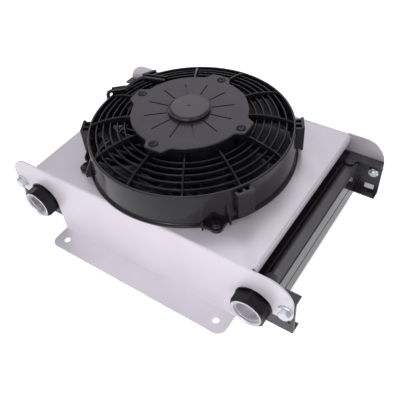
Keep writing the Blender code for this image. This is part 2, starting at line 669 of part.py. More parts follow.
def make_fan_housing():
    housing = part("fan_housing", "black_plastic", [turned(ring_wall_profile(), ROUND_LARGE)])
    join(housing, [grille_ring(GRILLE_RADII[-1])])
    join(housing, spoke_shapes())
    join(housing, [grille_ring(radius) for radius in GRILLE_RADII[:-1]])
    hub = ring(HUB_RING_INNER, HUB_RING_OUTER, HUB_RING_BOTTOM, HUB_RING_TOP, ROUND_LARGE)
    join(housing, [hub])
    screw = (COVER_SCREW_RADIUS, 0)
    boss = cylinder(SCREW_BOSS_RADIUS, HUB_RING_TOP - 16, HUB_RING_TOP, centre=screw)
    join(housing, turned_to_each(boss, QUARTERS))
    join(housing, lug_shapes())
    join(housing, gusset_shapes())
    for angle in CLIP_ANGLES:
        for shape in clip_shapes():
            join(housing, [turned_about_z(shape, angle)])
    start, end = trough_ends()
    room = LEAD_RADIUS + GAP
    trough_low, trough_high = TROUGH_FLOOR - TROUGH_FLOOR_DEPTH, TROUGH_FLOOR + TROUGH_WALL_HEIGHT
    join(housing, [bar(start, end, room + TROUGH_WALL, 0, trough_low, trough_high)])
    cut(housing, [bar(start, end, room, 10, TROUGH_FLOOR, TROUGH_FLOOR + 20)])
    hole_low, hole_high = HUB_RING_TOP - 13, HUB_RING_TOP + 5
    screw_hole = cylinder(SCREW_HOLE_RADIUS, hole_low, hole_high, centre=screw, sides=ROUND_HOLE)
    bolt_top = FAN_BASE + 2 * LUG_THICKNESS
    bolt = (FAN_BOLT_RADIUS, 0)
    bolt_hole = cylinder(M6_HOLE_RADIUS, PLATE_TOP - 10, bolt_top, centre=bolt, sides=ROUND_HOLE)
    cut(housing, turned_to_each(screw_hole, QUARTERS) + turned_to_each(bolt_hole, DIAGONALS))


def cover_outline():
    """A disc with a lobe beside each of the four screws, each with one square shoulder."""
    points = []
    for screw in QUARTERS:
        points += arc((0, 0), COVER_RADIUS, screw - 71, screw - 10, 7)
        points += arc((0, 0), COVER_LOBE_RADIUS, screw - 5, screw + 12, 3)
        points.append(tuple(on_circle(COVER_SHOULDER_RADIUS, screw + 15.5)))
    return points


def make_motor_cover():
    cover = part("motor_cover", "cover_black", [prism(cover_outline(), COVER_BASE, COVER_TOP)])
    hollow_top = COVER_TOP - COVER_TOP_WALL
    hollow = (COVER_HOLLOW_INNER, COVER_HOLLOW_OUTER, COVER_BASE - 1, hollow_top)
    cut(cover, [ring(*hollow, ROUND_LARGE)])
    boss_bottom = UPPER_BEARING_BOTTOM - 0.2
    join(cover, [cylinder(COVER_BOSS_RADIUS, boss_bottom, COVER_TOP - 3.0, sides=ROUND_BEARING)])
    seat_top = UPPER_BEARING_BOTTOM + BEARING_WIDTH + GAP
    seat = cylinder(BEARING_RADIUS + GAP, boss_bottom - 1, seat_top, sides=ROUND_BEARING)
    cut(cover, [seat])
    cut(cover, [cylinder(SHAFT_RADIUS + 1, boss_bottom, COVER_TOP + 5)])
    groove_low = (GROOVE_START, -GROOVE_HALF_WIDTH, COVER_TOP - GROOVE_DEPTH)
    groove_high = (GROOVE_END, GROOVE_HALF_WIDTH, COVER_TOP + 2)
    step = 360 / GROOVE_COUNT
    angles = [GROOVE_FIRST_ANGLE + step * i for i in range(GROOVE_COUNT)]
    cut(cover, turned_to_each(box(groove_low, groove_high), angles))
    screw = (COVER_SCREW_RADIUS, 0)
    pocket_bottom = COVER_TOP - SCREW_POCKET_DEPTH
    pocket = cylinder(SCREW_POCKET_RADIUS, pocket_bottom, COVER_TOP + 5, centre=screw)
    cut(cover, turned_to_each(pocket, QUARTERS))
    hole = cylinder(SCREW_HOLE_RADIUS, COVER_BASE - 5, COVER_TOP, centre=screw, sides=ROUND_HOLE)
    cut(cover, turned_to_each(hole, QUARTERS))


def make_bearing_cap():
    """A low round cap with a rounded edge and a dimple, over the shaft's end."""
    low = COVER_TOP + GAP
    r, top = CAP_RADIUS, low + CAP_HEIGHT
    profile = [(0.0, low), (r, low), (r, top - 4.3), (r - 0.9, top - 2.1), (r - 3.3, top - 0.6)]
    profile += [(r - 4.7, top), (1.8, top), (1.4, top - 1.0), (0.0, top - 1.0)]
    cap = part("bearing_cap", "cover_black", [closed_on_axis(profile, ROUND_MEDIUM)])
    cut(cap, [cylinder(SHAFT_RADIUS + 1, low - 5, low + CAP_RECESS)])


def make_cover_screws():
    screw_centre = (COVER_SCREW_RADIUS, 0)
    head_bottom = COVER_TOP - SCREW_POCKET_DEPTH + GAP
    head_top = COVER_TOP + GAP
    head = cylinder(SCREW_HEAD_RADIUS, head_bottom, head_top, centre=screw_centre)
    shank_low, shank_high = HUB_RING_TOP - 11, COVER_TOP - 1
    shank = cylinder(SCREW_SHANK_RADIUS, shank_low, shank_high, centre=screw_centre, sides=ROUND_HOLE)
    socket_low = head_top - 1.2
    socket = cylinder(SCREW_SOCKET_RADIUS, socket_low, head_top + 3, centre=screw_centre, sides=6)
    for number, angle in enumerate(QUARTERS):
        screw = part(f"cover_screw_{number + 1}", "black_zinc", [turned_about_z(head, angle)])
        join(screw, [turned_about_z(shank, angle)])
        cut(screw, [turned_about_z(socket, angle)])


def make_fan_bolts():
    """Flanged bolts in the housing lugs, with nuts under the plate."""
    corner_radius = M6_ACROSS_FLATS / 2 / cos(pi / 6)
    seat = FAN_BASE + LUG_THICKNESS + GAP
    head_top = seat + FAN_BOLT_HEAD
    nut_top = PLATE_TOP - SHEET - GAP
    nut_bottom = nut_top - FAN_NUT_HEIGHT
    for corner, sx, sy in four_corners():
        centre = fan_bolt_centre(sx, sy)
        flange = cylinder(FAN_BOLT_FLANGE_RADIUS, seat, seat + FAN_BOLT_FLANGE, centre=centre)
        bolt = part(f"{corner}_fan_bolt", "black_zinc", [flange])
        join(bolt, [cylinder(FAN_BOLT_HEAD_RADIUS, seat + 0.7, head_top, centre=centre)])
        join(bolt, [cylinder(M6_RADIUS, FAN_BOLT_END, seat + 1, centre=centre, sides=ROUND_HOLE)])
        socket_low = head_top - 2.2
        socket = cylinder(FAN_BOLT_HEAD_RADIUS / 2, socket_low, head_top + 5, centre=centre, sides=6)
        cut(bolt, [socket])
        hexagon = prism(polygon(corner_radius, 6, 0, centre), nut_bottom, nut_top)
        nut = part(f"{corner}_fan_nut", "black_zinc", [hexagon])
        hole = cylinder(M6_HOLE_RADIUS, nut_bottom - 5, nut_top + 5, centre=centre, sides=ROUND_HOLE)
        cut(nut, [hole])


# ---------------------------------------------------------------- motor lead

def on_circle(radius, degrees):
    return Vector((radius * cos(radians(degrees)), radius * sin(radians(degrees))))


def trough_ends():
    """The trough on the rim, in plan: it follows the lead across the rim."""
    return on_circle(122.5, 172.3), on_circle(135.5, 178.6)


def clip_ends():
    """The lead's clip at the cover's edge, in plan."""
    return on_circle(81.5, 147.5), on_circle(105.5, 160.5)


def lead_route():
    """Points of the lead: cover edge, clip, rim trough, down the ring wall to the connector."""
    inner, outer = clip_ends()
    level = CLIP_BOTTOM + LEAD_CLIP_LEVEL
    points = [(*inner.lerp(outer, share), level) for share in (0.1, 0.55, 1.05)]
    points.append((*on_circle(113.5, 166.3), level - 4.0))
    start, end = trough_ends()
    over = TROUGH_FLOOR + LEAD_RADIUS + GAP
    for share, rise in ((-0.1, 1.0), (0.4, 0.1), (0.95, 0.0)):
        points.append((*start.lerp(end, share), over + rise))
    r, a = LEAD_OUTSIDE_RADIUS, LEAD_OUTSIDE_ANGLE
    points += [(*on_circle(r, a - 0.9), over - 2.0), (*on_circle(r + 0.8, a - 0.2), over - 7.0)]
    points += [(*on_circle(r, a), over - 14.0), (*on_circle(r, a), CONNECTOR_TOP + GAP)]
    return points


def smooth_route(points, steps):
    """A Catmull-Rom curve through the points."""
    padded = [points[0], *points, points[-1]]
    result = []
    for p0, p1, p2, p3 in zip(padded, padded[1:], padded[2:], padded[3:]):
        for i in range(steps):
            t = i / steps
            first, last = -t + 2 * t ** 2 - t ** 3, t ** 3 - t ** 2
            weights = (first, 2 - 5 * t ** 2 + 3 * t ** 3, t + 4 * t ** 2 - 3 * t ** 3, last)
            near = list(zip(weights, (p0, p1, p2, p3)))
            result.append([sum(w * p[c] for w, p in near) / 2 for c in range(3)])
    result.append(points[-1])
    return result


def make_lead():
    route = smooth_route(lead_route(), 2)
    curve = bpy.data.curves.new("motor_lead", "CURVE")
    curve.dimensions = "3D"
    curve.bevel_depth = LEAD_RADIUS * MM
    curve.bevel_resolution = 2
    curve.use_fill_caps = True
    spline = curve.splines.new("POLY")
    spline.points.add(len(route) - 1)
    for point, (x, y, z) in zip(spline.points, route):
        point.co = (x * MM, y * MM, z * MM, 1.0)
    place("motor_lead", curve)
    curve.materials.append(material("motor_lead_finish", "black_plastic"))
    inner, outer = clip_ends()
    room = LEAD_RADIUS + GAP
    clip_top, groove_floor = CLIP_BOTTOM + LEAD_CLIP_HEIGHT, CLIP_BOTTOM + LEAD_CLIP_LEVEL - room
    block = bar(inner, outer, LEAD_CLIP_HALF_WIDTH, 0, CLIP_BOTTOM, clip_top)
    clip = part("lead_clip", "black_plastic", [block])
    cut(clip, [bar(inner, outer, room, 5, groove_floor, clip_top + 10)])
    low = (CONNECTOR_INNER_RADIUS, -CONNECTOR_HALF_WIDTH)
    high = (CONNECTOR_OUTER_RADIUS, CONNECTOR_HALF_WIDTH)
    body = rounded_rectangle(low, high, 1.5, 2)
    connector = prism(body, CONNECTOR_TOP - CONNECTOR_HEIGHT, CONNECTOR_TOP)
    part("lead_connector", "black_plastic", [turned_about_z(connector, LEAD_OUTSIDE_ANGLE)])


# ---------------------------------------------------------------- motor

def make_motor():
    """The still half of the motor, hung from the cover."""
    r, floor = CAN_RADIUS, CAN_BOTTOM + CAN_WALL
    shaft_hole = SHAFT_RADIUS + 1.5
    pocket = BEARING_RADIUS + GAP
    seat, seat_low = pocket + BEARING_SEAT_WALL, LOWER_BEARING_BOTTOM - GAP
    seat_high = LOWER_BEARING_BOTTOM + BEARING_WIDTH
    profile = [(shaft_hole, CAN_BOTTOM), (r, CAN_BOTTOM), (r, CAN_TOP), (r - CAN_WALL, CAN_TOP)]
    profile += [(r - CAN_WALL, floor), (seat, floor), (seat, seat_high), (pocket, seat_high)]
    profile += [(pocket, seat_low), (shaft_hole, seat_low)]
    part("motor_can", "black_paint", [turned(profile, ROUND_MEDIUM)])
    bearings = {"lower_bearing": LOWER_BEARING_BOTTOM, "upper_bearing": UPPER_BEARING_BOTTOM}
    for name, bottom in bearings.items():
        top = bottom + BEARING_WIDTH
        part(name, "steel", [ring(SHAFT_RADIUS + GAP, BEARING_RADIUS, bottom, top, ROUND_BEARING)])
    outer = r - CAN_WALL - GAP
    inner = outer - MAGNET_THICKNESS
    for number in range(4):
        profile = [(inner, MAGNET_BOTTOM), (outer, MAGNET_BOTTOM)]
        profile += [(outer, MAGNET_TOP), (inner, MAGNET_TOP)]
        start = 90 * number + MAGNET_GAP_ANGLE / 2
        part(f"magnet_{number + 1}", "ferrite", [turned(profile, 8, start, 90 - MAGNET_GAP_ANGLE)])
    plate = ring(BRUSH_PLATE_INNER, outer, BRUSH_PLATE_BOTTOM, BRUSH_PLATE_TOP, ROUND_MEDIUM)
    part("brush_plate", "black_plastic", [plate])
    for number, side in enumerate((-1, 1)):
        low, high = sorted((side * BRUSH_INNER, side * BRUSH_OUTER))
        block = box((low, -BRUSH_HALF_WIDTH, BRUSH_BOTTOM), (high, BRUSH_HALF_WIDTH, BRUSH_TOP))
        part(f"brush_{number + 1}", "carbon", [block])


def make_rotor():
    """Everything that turns, on an empty whose Z axis is the shaft."""
    axis = bpy.data.objects.new("fan_axis", None)
    bpy.context.collection.objects.link(axis)
    shaft = cylinder(SHAFT_RADIUS, SHAFT_BOTTOM, SHAFT_TOP, sides=ROUND_BEARING)
    part("motor_shaft", "steel", [shaft], axis)
    bore = SHAFT_RADIUS + GAP
    rounded = WINDING_RADIUS - WINDING_ROUND
    profile = [(bore, WINDING_BOTTOM), (rounded, WINDING_BOTTOM), (WINDING_RADIUS, WINDING_BOTTOM + 2)]
    profile += [(WINDING_RADIUS, STACK_BOTTOM), (STACK_RADIUS, STACK_BOTTOM), (STACK_RADIUS, STACK_TOP)]
    profile += [(WINDING_RADIUS, STACK_TOP), (rounded, WINDING_TOP), (bore, WINDING_TOP)]
    part("armature", "copper", [turned(profile, ROUND_MEDIUM)], axis)
    commutator = ring(bore, COMMUTATOR_RADIUS, COMMUTATOR_BOTTOM, COMMUTATOR_TOP, ROUND_BEARING)
    part("commutator", "copper", [commutator], axis)
    corner_radius = M8_ACROSS_FLATS / 2 / cos(pi / 6)
    nut_top = ROTOR_HUB_BOTTOM - GAP
    hexagon = prism(polygon(corner_radius, 6), SHAFT_BOTTOM, nut_top)
    nut = part("impeller_nut", "zinc", [hexagon], axis)
    cut(nut, [cylinder(bore, SHAFT_BOTTOM - 5, nut_top + 5, sides=ROUND_BEARING)])
    make_impeller(axis)


def blade_shape():
    """A twisted, swept blade as a loft of thin sections, from inside the hub wall to the tip."""
    thickness, stations = BLADE_THICKNESS, BLADE_STATIONS
    root = ROTOR_HUB_RADIUS - 1.5
    points = []
    for i in range(stations):
        share = i / (stations - 1)
        radius = root + (BLADE_TIP_RADIUS - root) * share
        pitch = radians(ROOT_PITCH + (TIP_PITCH - ROOT_PITCH) * share)
        half = (ROOT_CHORD + (TIP_CHORD - ROOT_CHORD) * share) / 2
        sweep = radians(TIP_SWEEP * share ** 1.5)
        rise = min(half * sin(pitch), (BLADE_TOP - BLADE_BOTTOM) / 2 - thickness)
        reach = rise / tan(pitch)
        middle = (BLADE_BOTTOM + BLADE_TOP) / 2
        for along, up in ((-reach, -rise), (reach, rise)):
            for offset in (-thickness / 2, thickness / 2):
                angle = sweep + along / radius
                points.append((radius * cos(angle), radius * sin(angle), middle + up + offset))
    faces = []
    order = (0, 1, 3, 2)
    for i in range(stations - 1):
        here, there = 4 * i, 4 * (i + 1)
        for a, b in zip(order, order[1:] + order[:1]):
            faces.append((here + a, here + b, there + b, there + a))
    faces += [tuple(order), tuple(4 * (stations - 1) + a for a in order)]
    return points, faces


def make_impeller(axis):
    wall, edge = ROTOR_HUB_WALL, ROTOR_HUB_EDGE
    bore = SHAFT_RADIUS + GAP
    boss = bore + ROTOR_BOSS_WALL
    r, low, high = ROTOR_HUB_RADIUS, ROTOR_HUB_BOTTOM, ROTOR_HUB_TOP
    boss_top = low + wall + ROTOR_BOSS_HEIGHT
    profile = [(bore, low), (r - edge, low), (r, low + edge), (r, high), (r - wall, high)]
    profile += [(r - wall, low + wall), (boss, low + wall), (boss, boss_top), (bore, boss_top)]
    impeller = part("impeller", "black_plastic", [turned(profile, ROUND_MEDIUM)], axis)
    join(impeller, turned_to_each(blade_shape(), [360 * i / BLADE_COUNT for i in range(BLADE_COUNT)]))


def make_label():
    """A blank label on the inner face of the back channel, at its right end."""
    (x0, z0), (x1, z1) = LABEL_LOW, LABEL_HIGH
    face = WEB_INNER_Y - GAP
    film = box((x0, face - LABEL_THICKNESS, z0), (x1, face, z1))
    part("blank_label", "white_label", [film])


for old in list(bpy.data.objects):
    bpy.data.objects.remove(old)
make_shroud()
make_channel("front_core_channel", -1, True)
make_channel("back_core_channel", 1, False)
make_tanks()
make_core()
for end, direction in mirrored_ends():
    make_port(f"{end}_port_fitting", direction)
make_ear_fasteners()
make_fan_housing()
make_motor_cover()
make_bearing_cap()
make_cover_screws()
make_fan_bolts()
make_lead()
make_motor()
make_rotor()
make_label()
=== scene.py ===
from math import cos, pi, radians, sin, sqrt, tan

import bmesh
import bpy
from mathutils import Matrix, Vector


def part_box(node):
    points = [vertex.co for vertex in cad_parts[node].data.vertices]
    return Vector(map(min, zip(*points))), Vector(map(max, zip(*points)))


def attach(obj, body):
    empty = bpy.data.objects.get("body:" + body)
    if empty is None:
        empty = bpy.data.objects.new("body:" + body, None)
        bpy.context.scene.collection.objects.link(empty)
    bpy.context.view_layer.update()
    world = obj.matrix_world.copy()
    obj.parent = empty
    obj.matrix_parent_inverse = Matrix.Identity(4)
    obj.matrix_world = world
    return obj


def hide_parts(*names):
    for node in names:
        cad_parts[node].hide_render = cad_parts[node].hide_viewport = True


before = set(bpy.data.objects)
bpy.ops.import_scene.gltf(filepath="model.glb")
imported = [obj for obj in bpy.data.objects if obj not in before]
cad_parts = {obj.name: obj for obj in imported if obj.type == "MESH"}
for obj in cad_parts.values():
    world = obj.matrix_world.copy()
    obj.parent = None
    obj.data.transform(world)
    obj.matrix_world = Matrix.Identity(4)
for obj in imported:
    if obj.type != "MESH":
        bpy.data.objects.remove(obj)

MM = 0.001
STATIC, ROTOR = "cooler", "fan_rotor"
FACE_WEIGHT = 60              # how strongly large faces pull the shading normals
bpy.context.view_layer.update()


# ---- the frame, in millimetres

def low(node):
    """A CAD node's lowest corner."""
    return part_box(node)[0] / MM


def high(node):
    """A CAD node's highest corner."""
    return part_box(node)[1] / MM


def middle(node):
    """The centre of a CAD node's box."""
    return (low(node) + high(node)) / 2


# ---- shapes: (points, faces) in millimetres

def arc(centre, radius, start, end, steps):
    """Points along a circle, from start to end in degrees."""
    angles = [radians(start + (end - start) * i / steps) for i in range(steps + 1)]
    return [(centre[0] + radius * cos(a), centre[1] + radius * sin(a)) for a in angles]


def polygon(radius, sides, turn=0.0, centre=(0.0, 0.0)):
    return arc(centre, radius, turn, turn + 360, sides)[:-1]


def rounded_rectangle(low_corner, high_corner, radius, steps=5):
    (u0, v0), (u1, v1) = low_corner, high_corner
    corners = ((u1 - radius, v1 - radius, 0), (u0 + radius, v1 - radius, 90),
            (u0 + radius, v0 + radius, 180), (u1 - radius, v0 + radius, 270))
    return [p for u, v, turn in corners for p in arc((u, v), radius, turn, turn + 90, steps)]


def loft(sections, closed=False):
    """Equal closed outlines joined one to the next, with capped ends unless it closes on itself."""
    count, rows = len(sections[0]), len(sections)
    points = [p for section in sections for p in section]
    faces = []
    for i in range(rows if closed else rows - 1):
        here, there = i * count, ((i + 1) % rows) * count
        for j in range(count):
            following = (j + 1) % count
            faces.append((here + j, there + j, there + following, here + following))
    if not closed:
        faces += [tuple(range(count)), tuple(range((rows - 1) * count, rows * count))]
    return points, faces


def prism(outline, start, end, axis="Z"):
    """An outline drawn in XY for Z, XZ for Y and YZ for X, extruded along the axis."""
    order = {"Z": (0, 1, 2), "Y": (0, 2, 1), "X": (2, 0, 1)}[axis]
    return loft([[tuple((u, v, w)[i] for i in order) for u, v in outline] for w in (start, end)])


def box(low_corner, high_corner):
    (x0, y0, z0), (x1, y1, z1) = low_corner, high_corner
    return prism([(x0, y0), (x1, y0), (x1, y1), (x0, y1)], z0, z1)


def cylinder(radius, start, end, axis="Z", centre=(0.0, 0.0), sides=48):
    return prism(polygon(radius, sides, 180 / sides, centre), start, end, axis)


def turned(profile, sides=128, start=0.0, sweep=360.0):
    """A closed profile of (radius, height) points turned about Z."""
    whole = sweep == 360.0
    angles = [radians(start + sweep * i / sides) for i in range(sides if whole else sides + 1)]
    return loft([[(r * cos(a), r * sin(a), z) for r, z in profile] for a in angles], closed=whole)


def on_axis(profile, sides=96):
    """A turned shape whose profile starts and ends on the axis."""
    inner = profile[1:-1]
    count = len(inner)
    points, faces = turned(inner, sides)
    faces = [f for f in faces if {f[0] % count, f[2] % count} != {0, count - 1}]
    first, last = len(points), len(points) + 1
    points += [(0.0, 0.0, profile[0][1]), (0.0, 0.0, profile[-1][1])]
    for i in range(sides):
        here, there = i * count, ((i + 1) % sides) * count
        faces += [(first, here, there), (last, there + count - 1, here + count - 1)]
    return points, faces


def moved(shape, matrix):
    points, faces = shape
    return [tuple(matrix @ Vector(p)) for p in points], faces


def about_z(shape, degrees):
    return moved(shape, Matrix.Rotation(radians(degrees), 4, "Z"))


def towards(shape, axis, x=0.0, y=0.0, z=0.0):
    """A shape drawn about +Z laid along -Y or +Y, then shifted."""
    turn = Matrix.Rotation({"-Y": pi / 2, "+Y": -pi / 2, "+Z": 0.0}[axis], 4, "X")
    return moved(shape, Matrix.Translation((x, y, z)) @ turn)


def bar(start, end, half_width, overrun, low_z, high_z):
    """An upright box along the line between two points of the plan."""
    along = (end - start).normalized()
    across = Vector((-along.y, along.x)) * half_width
    near, far = start - along * overrun, end + along * overrun
    corners = (near - across, far - across, far + across, near + across)
    return prism([tuple(c) for c in corners], low_z, high_z)


def on_circle(radius, degrees):
    """A point of the plan at a radius and an angle."""
    return Vector((radius * cos(radians(degrees)), radius * sin(radians(degrees))))


# ---- meshes and pieces

def mesh_of(name, shapes):
    """One mesh, in metres, of all the shapes."""
    work = bmesh.new()
    for points, faces in shapes:
        corners = [work.verts.new([c * MM for c in p]) for p in points]
        for face in faces:
            work.faces.new([corners[i] for i in face])
    bmesh.ops.recalc_face_normals(work, faces=work.faces)
    mesh = bpy.data.meshes.new(name)
    work.to_mesh(mesh)
    work.free()
    return mesh


def add(*shapes):
    return "UNION", shapes


def cut(*shapes):
    return "DIFFERENCE", shapes


def keep(*shapes):
    return "INTERSECT", shapes


def applied(target):
    """The mesh of an object with its modifiers applied."""
    return bpy.data.meshes.new_from_object(target.evaluated_get(bpy.context.evaluated_depsgraph_get()))


def worked(name, shapes, steps=(), smooth=32):
    """A mesh of closed shapes after its steps: add, cut, keep or ("BEVEL", width, segments, least angle)."""
    link = bpy.context.scene.collection.objects.link
    target = bpy.data.objects.new(name + "_blank", mesh_of(name, shapes))
    link(target)
    helpers = []
    for step in steps:
        if step[0] == "BEVEL":
            modifier = target.modifiers.new("Bevel", "BEVEL")
            modifier.width = step[1] * MM
            modifier.segments = step[2]
            modifier.angle_limit = radians(step[3])
            modifier.use_clamp_overlap = True
            continue
        helper = bpy.data.objects.new(name + "_helper", mesh_of(name, step[1]))
        link(helper)
        helpers.append(helper)
        modifier = target.modifiers.new(step[0].title(), "BOOLEAN")
        modifier.operation = step[0]
        modifier.solver = "EXACT"
        modifier.object = helper
    mesh = applied(target)
    mesh.shade_smooth()
    mesh.set_sharp_from_angle(angle=radians(smooth))
    target.modifiers.clear()
    target.data = mesh
    weighted = target.modifiers.new("Weighted", "WEIGHTED_NORMAL")
    weighted.keep_sharp = True
    weighted.weight = FACE_WEIGHT
    finished = applied(target)
    for spare in [target, *helpers]:
        bpy.data.objects.remove(spare)
    finished.name = name
    return finished


def make(name, node, materials, shapes, steps=(), smooth=32, body=STATIC):
    """A visible piece that rides on a body and stands for its CAD node."""
    mesh = worked(name, shapes, steps, smooth)
    mesh.materials.clear()
    for material in materials if isinstance(materials, list) else [materials]:
        mesh.materials.append(material)
    made = bpy.data.objects.new(name, mesh)
    bpy.context.scene.collection.objects.link(made)
    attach(made, body)
    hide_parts(node)
    return mesh


def paint_faces(mesh, index, chosen):
    """Gives the faces that chosen(centre in mm, normal) picks the material at index."""
    for face in mesh.polygons:
        if chosen(face.center / MM, face.normal):
            face.material_index = index


# ---- materials

CLOUD_SCALE, GLOSS_SCALE, HAZE_SCALE, SCRATCH_SCALE = 22.0, 45.0, 60.0, 700.0    # cells per metre
SPECK_SHARE = 1.6             # specks per grain of the coating
COAT_ROUGHNESS = 0.08


class Nodes:
    """A material's node tree with short ways to add and join nodes."""

    def __init__(self, name):
        self.material = bpy.data.materials.new(name)
        self.material.use_nodes = True
        self.tree = self.material.node_tree
        self.shader = self.tree.nodes["Principled BSDF"]
        self.place = self.add("TexCoord").outputs["Object"]

    def add(self, kind, **values):
        node = self.tree.nodes.new("ShaderNode" + kind)
        for key, value in values.items():
            setattr(node, key, value)
        return node

    def join(self, source, target):
        self.tree.links.new(source, target)

    def noise(self, scale, detail, stretch=None):
        node = self.add("TexNoise")
        node.inputs["Scale"].default_value = scale
        node.inputs["Detail"].default_value = detail
        source = self.place
        if stretch:
            mapping = self.add("Mapping")
            mapping.inputs["Scale"].default_value = stretch
            self.join(self.place, mapping.inputs["Vector"])
            source = mapping.outputs["Vector"]
        self.join(source, node.inputs["Vector"])
        return node.outputs["Fac"]

    def spread(self, source, start, end, low_in=0.35, high_in=0.65):
        """Maps the middle of a noise to the range from start to end."""
        node = self.add("MapRange")
        inputs = {"From Min": low_in, "From Max": high_in, "To Min": start, "To Max": end}
        for key, value in inputs.items():
            node.inputs[key].default_value = value
        self.join(source, node.inputs["Value"])
        return node.outputs["Result"]

    def blend(self, factor, first, second):
        """A colour between two others, each a tuple or a socket."""
        node = self.add("Mix", data_type="RGBA")
        self.join(factor, node.inputs["Factor"])
        for letter, value in (("A", first), ("B", second)):
            colour_socket = next(s for s in node.inputs if s.name == letter and s.type == "RGBA")
            if isinstance(value, tuple):
                colour_socket.default_value = (*value, 1.0)
            else:
                self.join(value, colour_socket)
        return next(s for s in node.outputs if s.type == "RGBA")

    def bump(self, height, distance_mm):
        node = self.add("Bump")
        node.inputs["Strength"].default_value = 1.0
        node.inputs["Distance"].default_value = distance_mm * MM
        self.join(height, node.inputs["Height"])
        self.join(node.outputs["Normal"], self.shader.inputs["Normal"])

    def set(self, **values):
        for key, value in values.items():
            socket = self.shader.inputs[key.replace("_", " ")]
            if isinstance(value, bpy.types.NodeSocket):
                self.join(value, socket)
            elif isinstance(value, tuple):
                socket.default_value = (*value, 1.0)
            else:
                socket.default_value = value


def scaled(colour, share):
    return tuple(c * share for c in colour)


def coated(name, colour, roughness, grain_mm, depth_mm, metallic=0.0, mottle=0.05, gloss=0.5, coat=0.0):
    """Paint, powder or moulded plastic: orange peel or grain, faint clouding and uneven gloss."""
    n = Nodes(name)
    cloud = n.noise(CLOUD_SCALE, 3.0)
    speck = n.noise(SPECK_SHARE / (grain_mm * MM), 1.0)
    tone = n.blend(n.spread(cloud, 0.0, 1.0), scaled(colour, 1 - mottle), scaled(colour, 1 + mottle))
    tone = n.blend(n.spread(speck, 0.0, 0.35, 0.3, 0.75), tone, scaled(colour, 1 + 2.5 * mottle))
    n.set(Base_Color=tone, Metallic=metallic, Specular_IOR_Level=gloss)
    n.set(Coat_Weight=coat, Coat_Roughness=COAT_ROUGHNESS)
    n.set(Roughness=n.spread(n.noise(GLOSS_SCALE, 4.0), roughness - 0.04, roughness + 0.05))
    n.bump(n.noise(1.0 / (grain_mm * MM), 2.0), depth_mm)
    return n.material


def bare_metal(name, colour, roughness, stretch=None, scratch=0.012, tarnish=0.12, metallic=1.0):
    """Plated or machined metal: fine directional scratches, handling haze and small tone changes."""
    n = Nodes(name)
    haze = n.noise(HAZE_SCALE, 4.0)
    tone = n.blend(n.spread(haze, 0.0, 1.0), scaled(colour, 1 - tarnish), colour)
    n.set(Base_Color=tone, Metallic=metallic)
    n.set(Roughness=n.spread(haze, roughness - 0.05, roughness + 0.08))
    n.bump(n.noise(SCRATCH_SCALE, 3.0, stretch), scratch)
    return n.material


POWDER = coated("silver_powder_coat", (0.78, 0.742, 0.795), 0.36, 0.9, 0.035, 0.35, 0.025)
TANK_BLACK = coated("tank_gloss_black", (0.012, 0.010, 0.013), 0.14, 2.2, 0.03, mottle=0.15, coat=0.4)
CHANNEL_BLACK = coated("channel_textured_black", (0.020, 0.017, 0.023), 0.28, 1.3, 0.30,
    mottle=0.3, gloss=0.8)
PORT_BLACK = coated("port_black", (0.004, 0.0035, 0.005), 0.34, 0.5, 0.02, mottle=0.15, gloss=0.25)
FAN_BLACK = coated("fan_moulded_black", (0.010, 0.009, 0.012), 0.20, 0.6, 0.02,
    mottle=0.2, gloss=0.28, coat=0.32)
BLADE_BLACK = coated("impeller_moulded_black", (0.010, 0.009, 0.011), 0.38, 0.6, 0.015, mottle=0.12)
COVER_GREY = coated("cover_grained_black", (0.050, 0.045, 0.060), 0.40, 0.5, 0.03,
    mottle=0.08, gloss=0.3, coat=0.2)
CAP_GREY = coated("cap_smooth_black", (0.034, 0.030, 0.041), 0.17, 1.4, 0.008,
    mottle=0.08, gloss=0.3, coat=0.4)
# darker glossy black for the leaning side faces of the cover and cap: painted shade on the sides, with a
# real higher gloss
SHADED_RIM_BLACK = coated("cover_rim_gloss_black_painted_shade", (0.010, 0.009, 0.012), 0.14, 0.8, 0.006,
    mottle=0.15, gloss=0.4, coat=0.7)
LEAD_BLACK = coated("lead_sleeve_black", (0.014, 0.0125, 0.015), 0.45, 0.5, 0.05, mottle=0.15)
CAN_BLACK = coated("motor_can_black", (0.018, 0.017, 0.02), 0.35, 1.2, 0.02, mottle=0.15)
LABEL_WHITE = coated("blank_label_white", (0.84, 0.82, 0.86), 0.45, 0.4, 0.006, mottle=0.02)
ZINC = bare_metal("zinc_plate", (0.84, 0.86, 0.91), 0.28)
BLACK_ZINC = coated("black_zinc", (0.035, 0.033, 0.040), 0.20, 0.6, 0.01, metallic=0.6, mottle=0.2)
MACHINED = bare_metal("machined_aluminium", (0.72, 0.70, 0.75), 0.38, (1.0, 6.0, 1.0), metallic=0.65)
BRAZED = bare_metal("brazed_aluminium", (0.55, 0.56, 0.58), 0.45, (3.0, 1.0, 1.0), 0.02, 0.25)
STEEL = bare_metal("ground_steel", (0.55, 0.55, 0.57), 0.30)
COPPER = bare_metal("bare_copper", (0.72, 0.36, 0.20), 0.35, tarnish=0.3)
FERRITE = coated("ferrite_grey", (0.07, 0.07, 0.075), 0.65, 0.5, 0.03)
CARBON = coated("carbon_brush", (0.04, 0.04, 0.042), 0.55, 0.4, 0.02)


# ---- places shared by several pieces

CUT = 1.0                     # how far a cutter or an overlap reaches past a face
THROUGH = 200.0               # past both ends of the object
GAP = 0.3                     # between pieces that touch

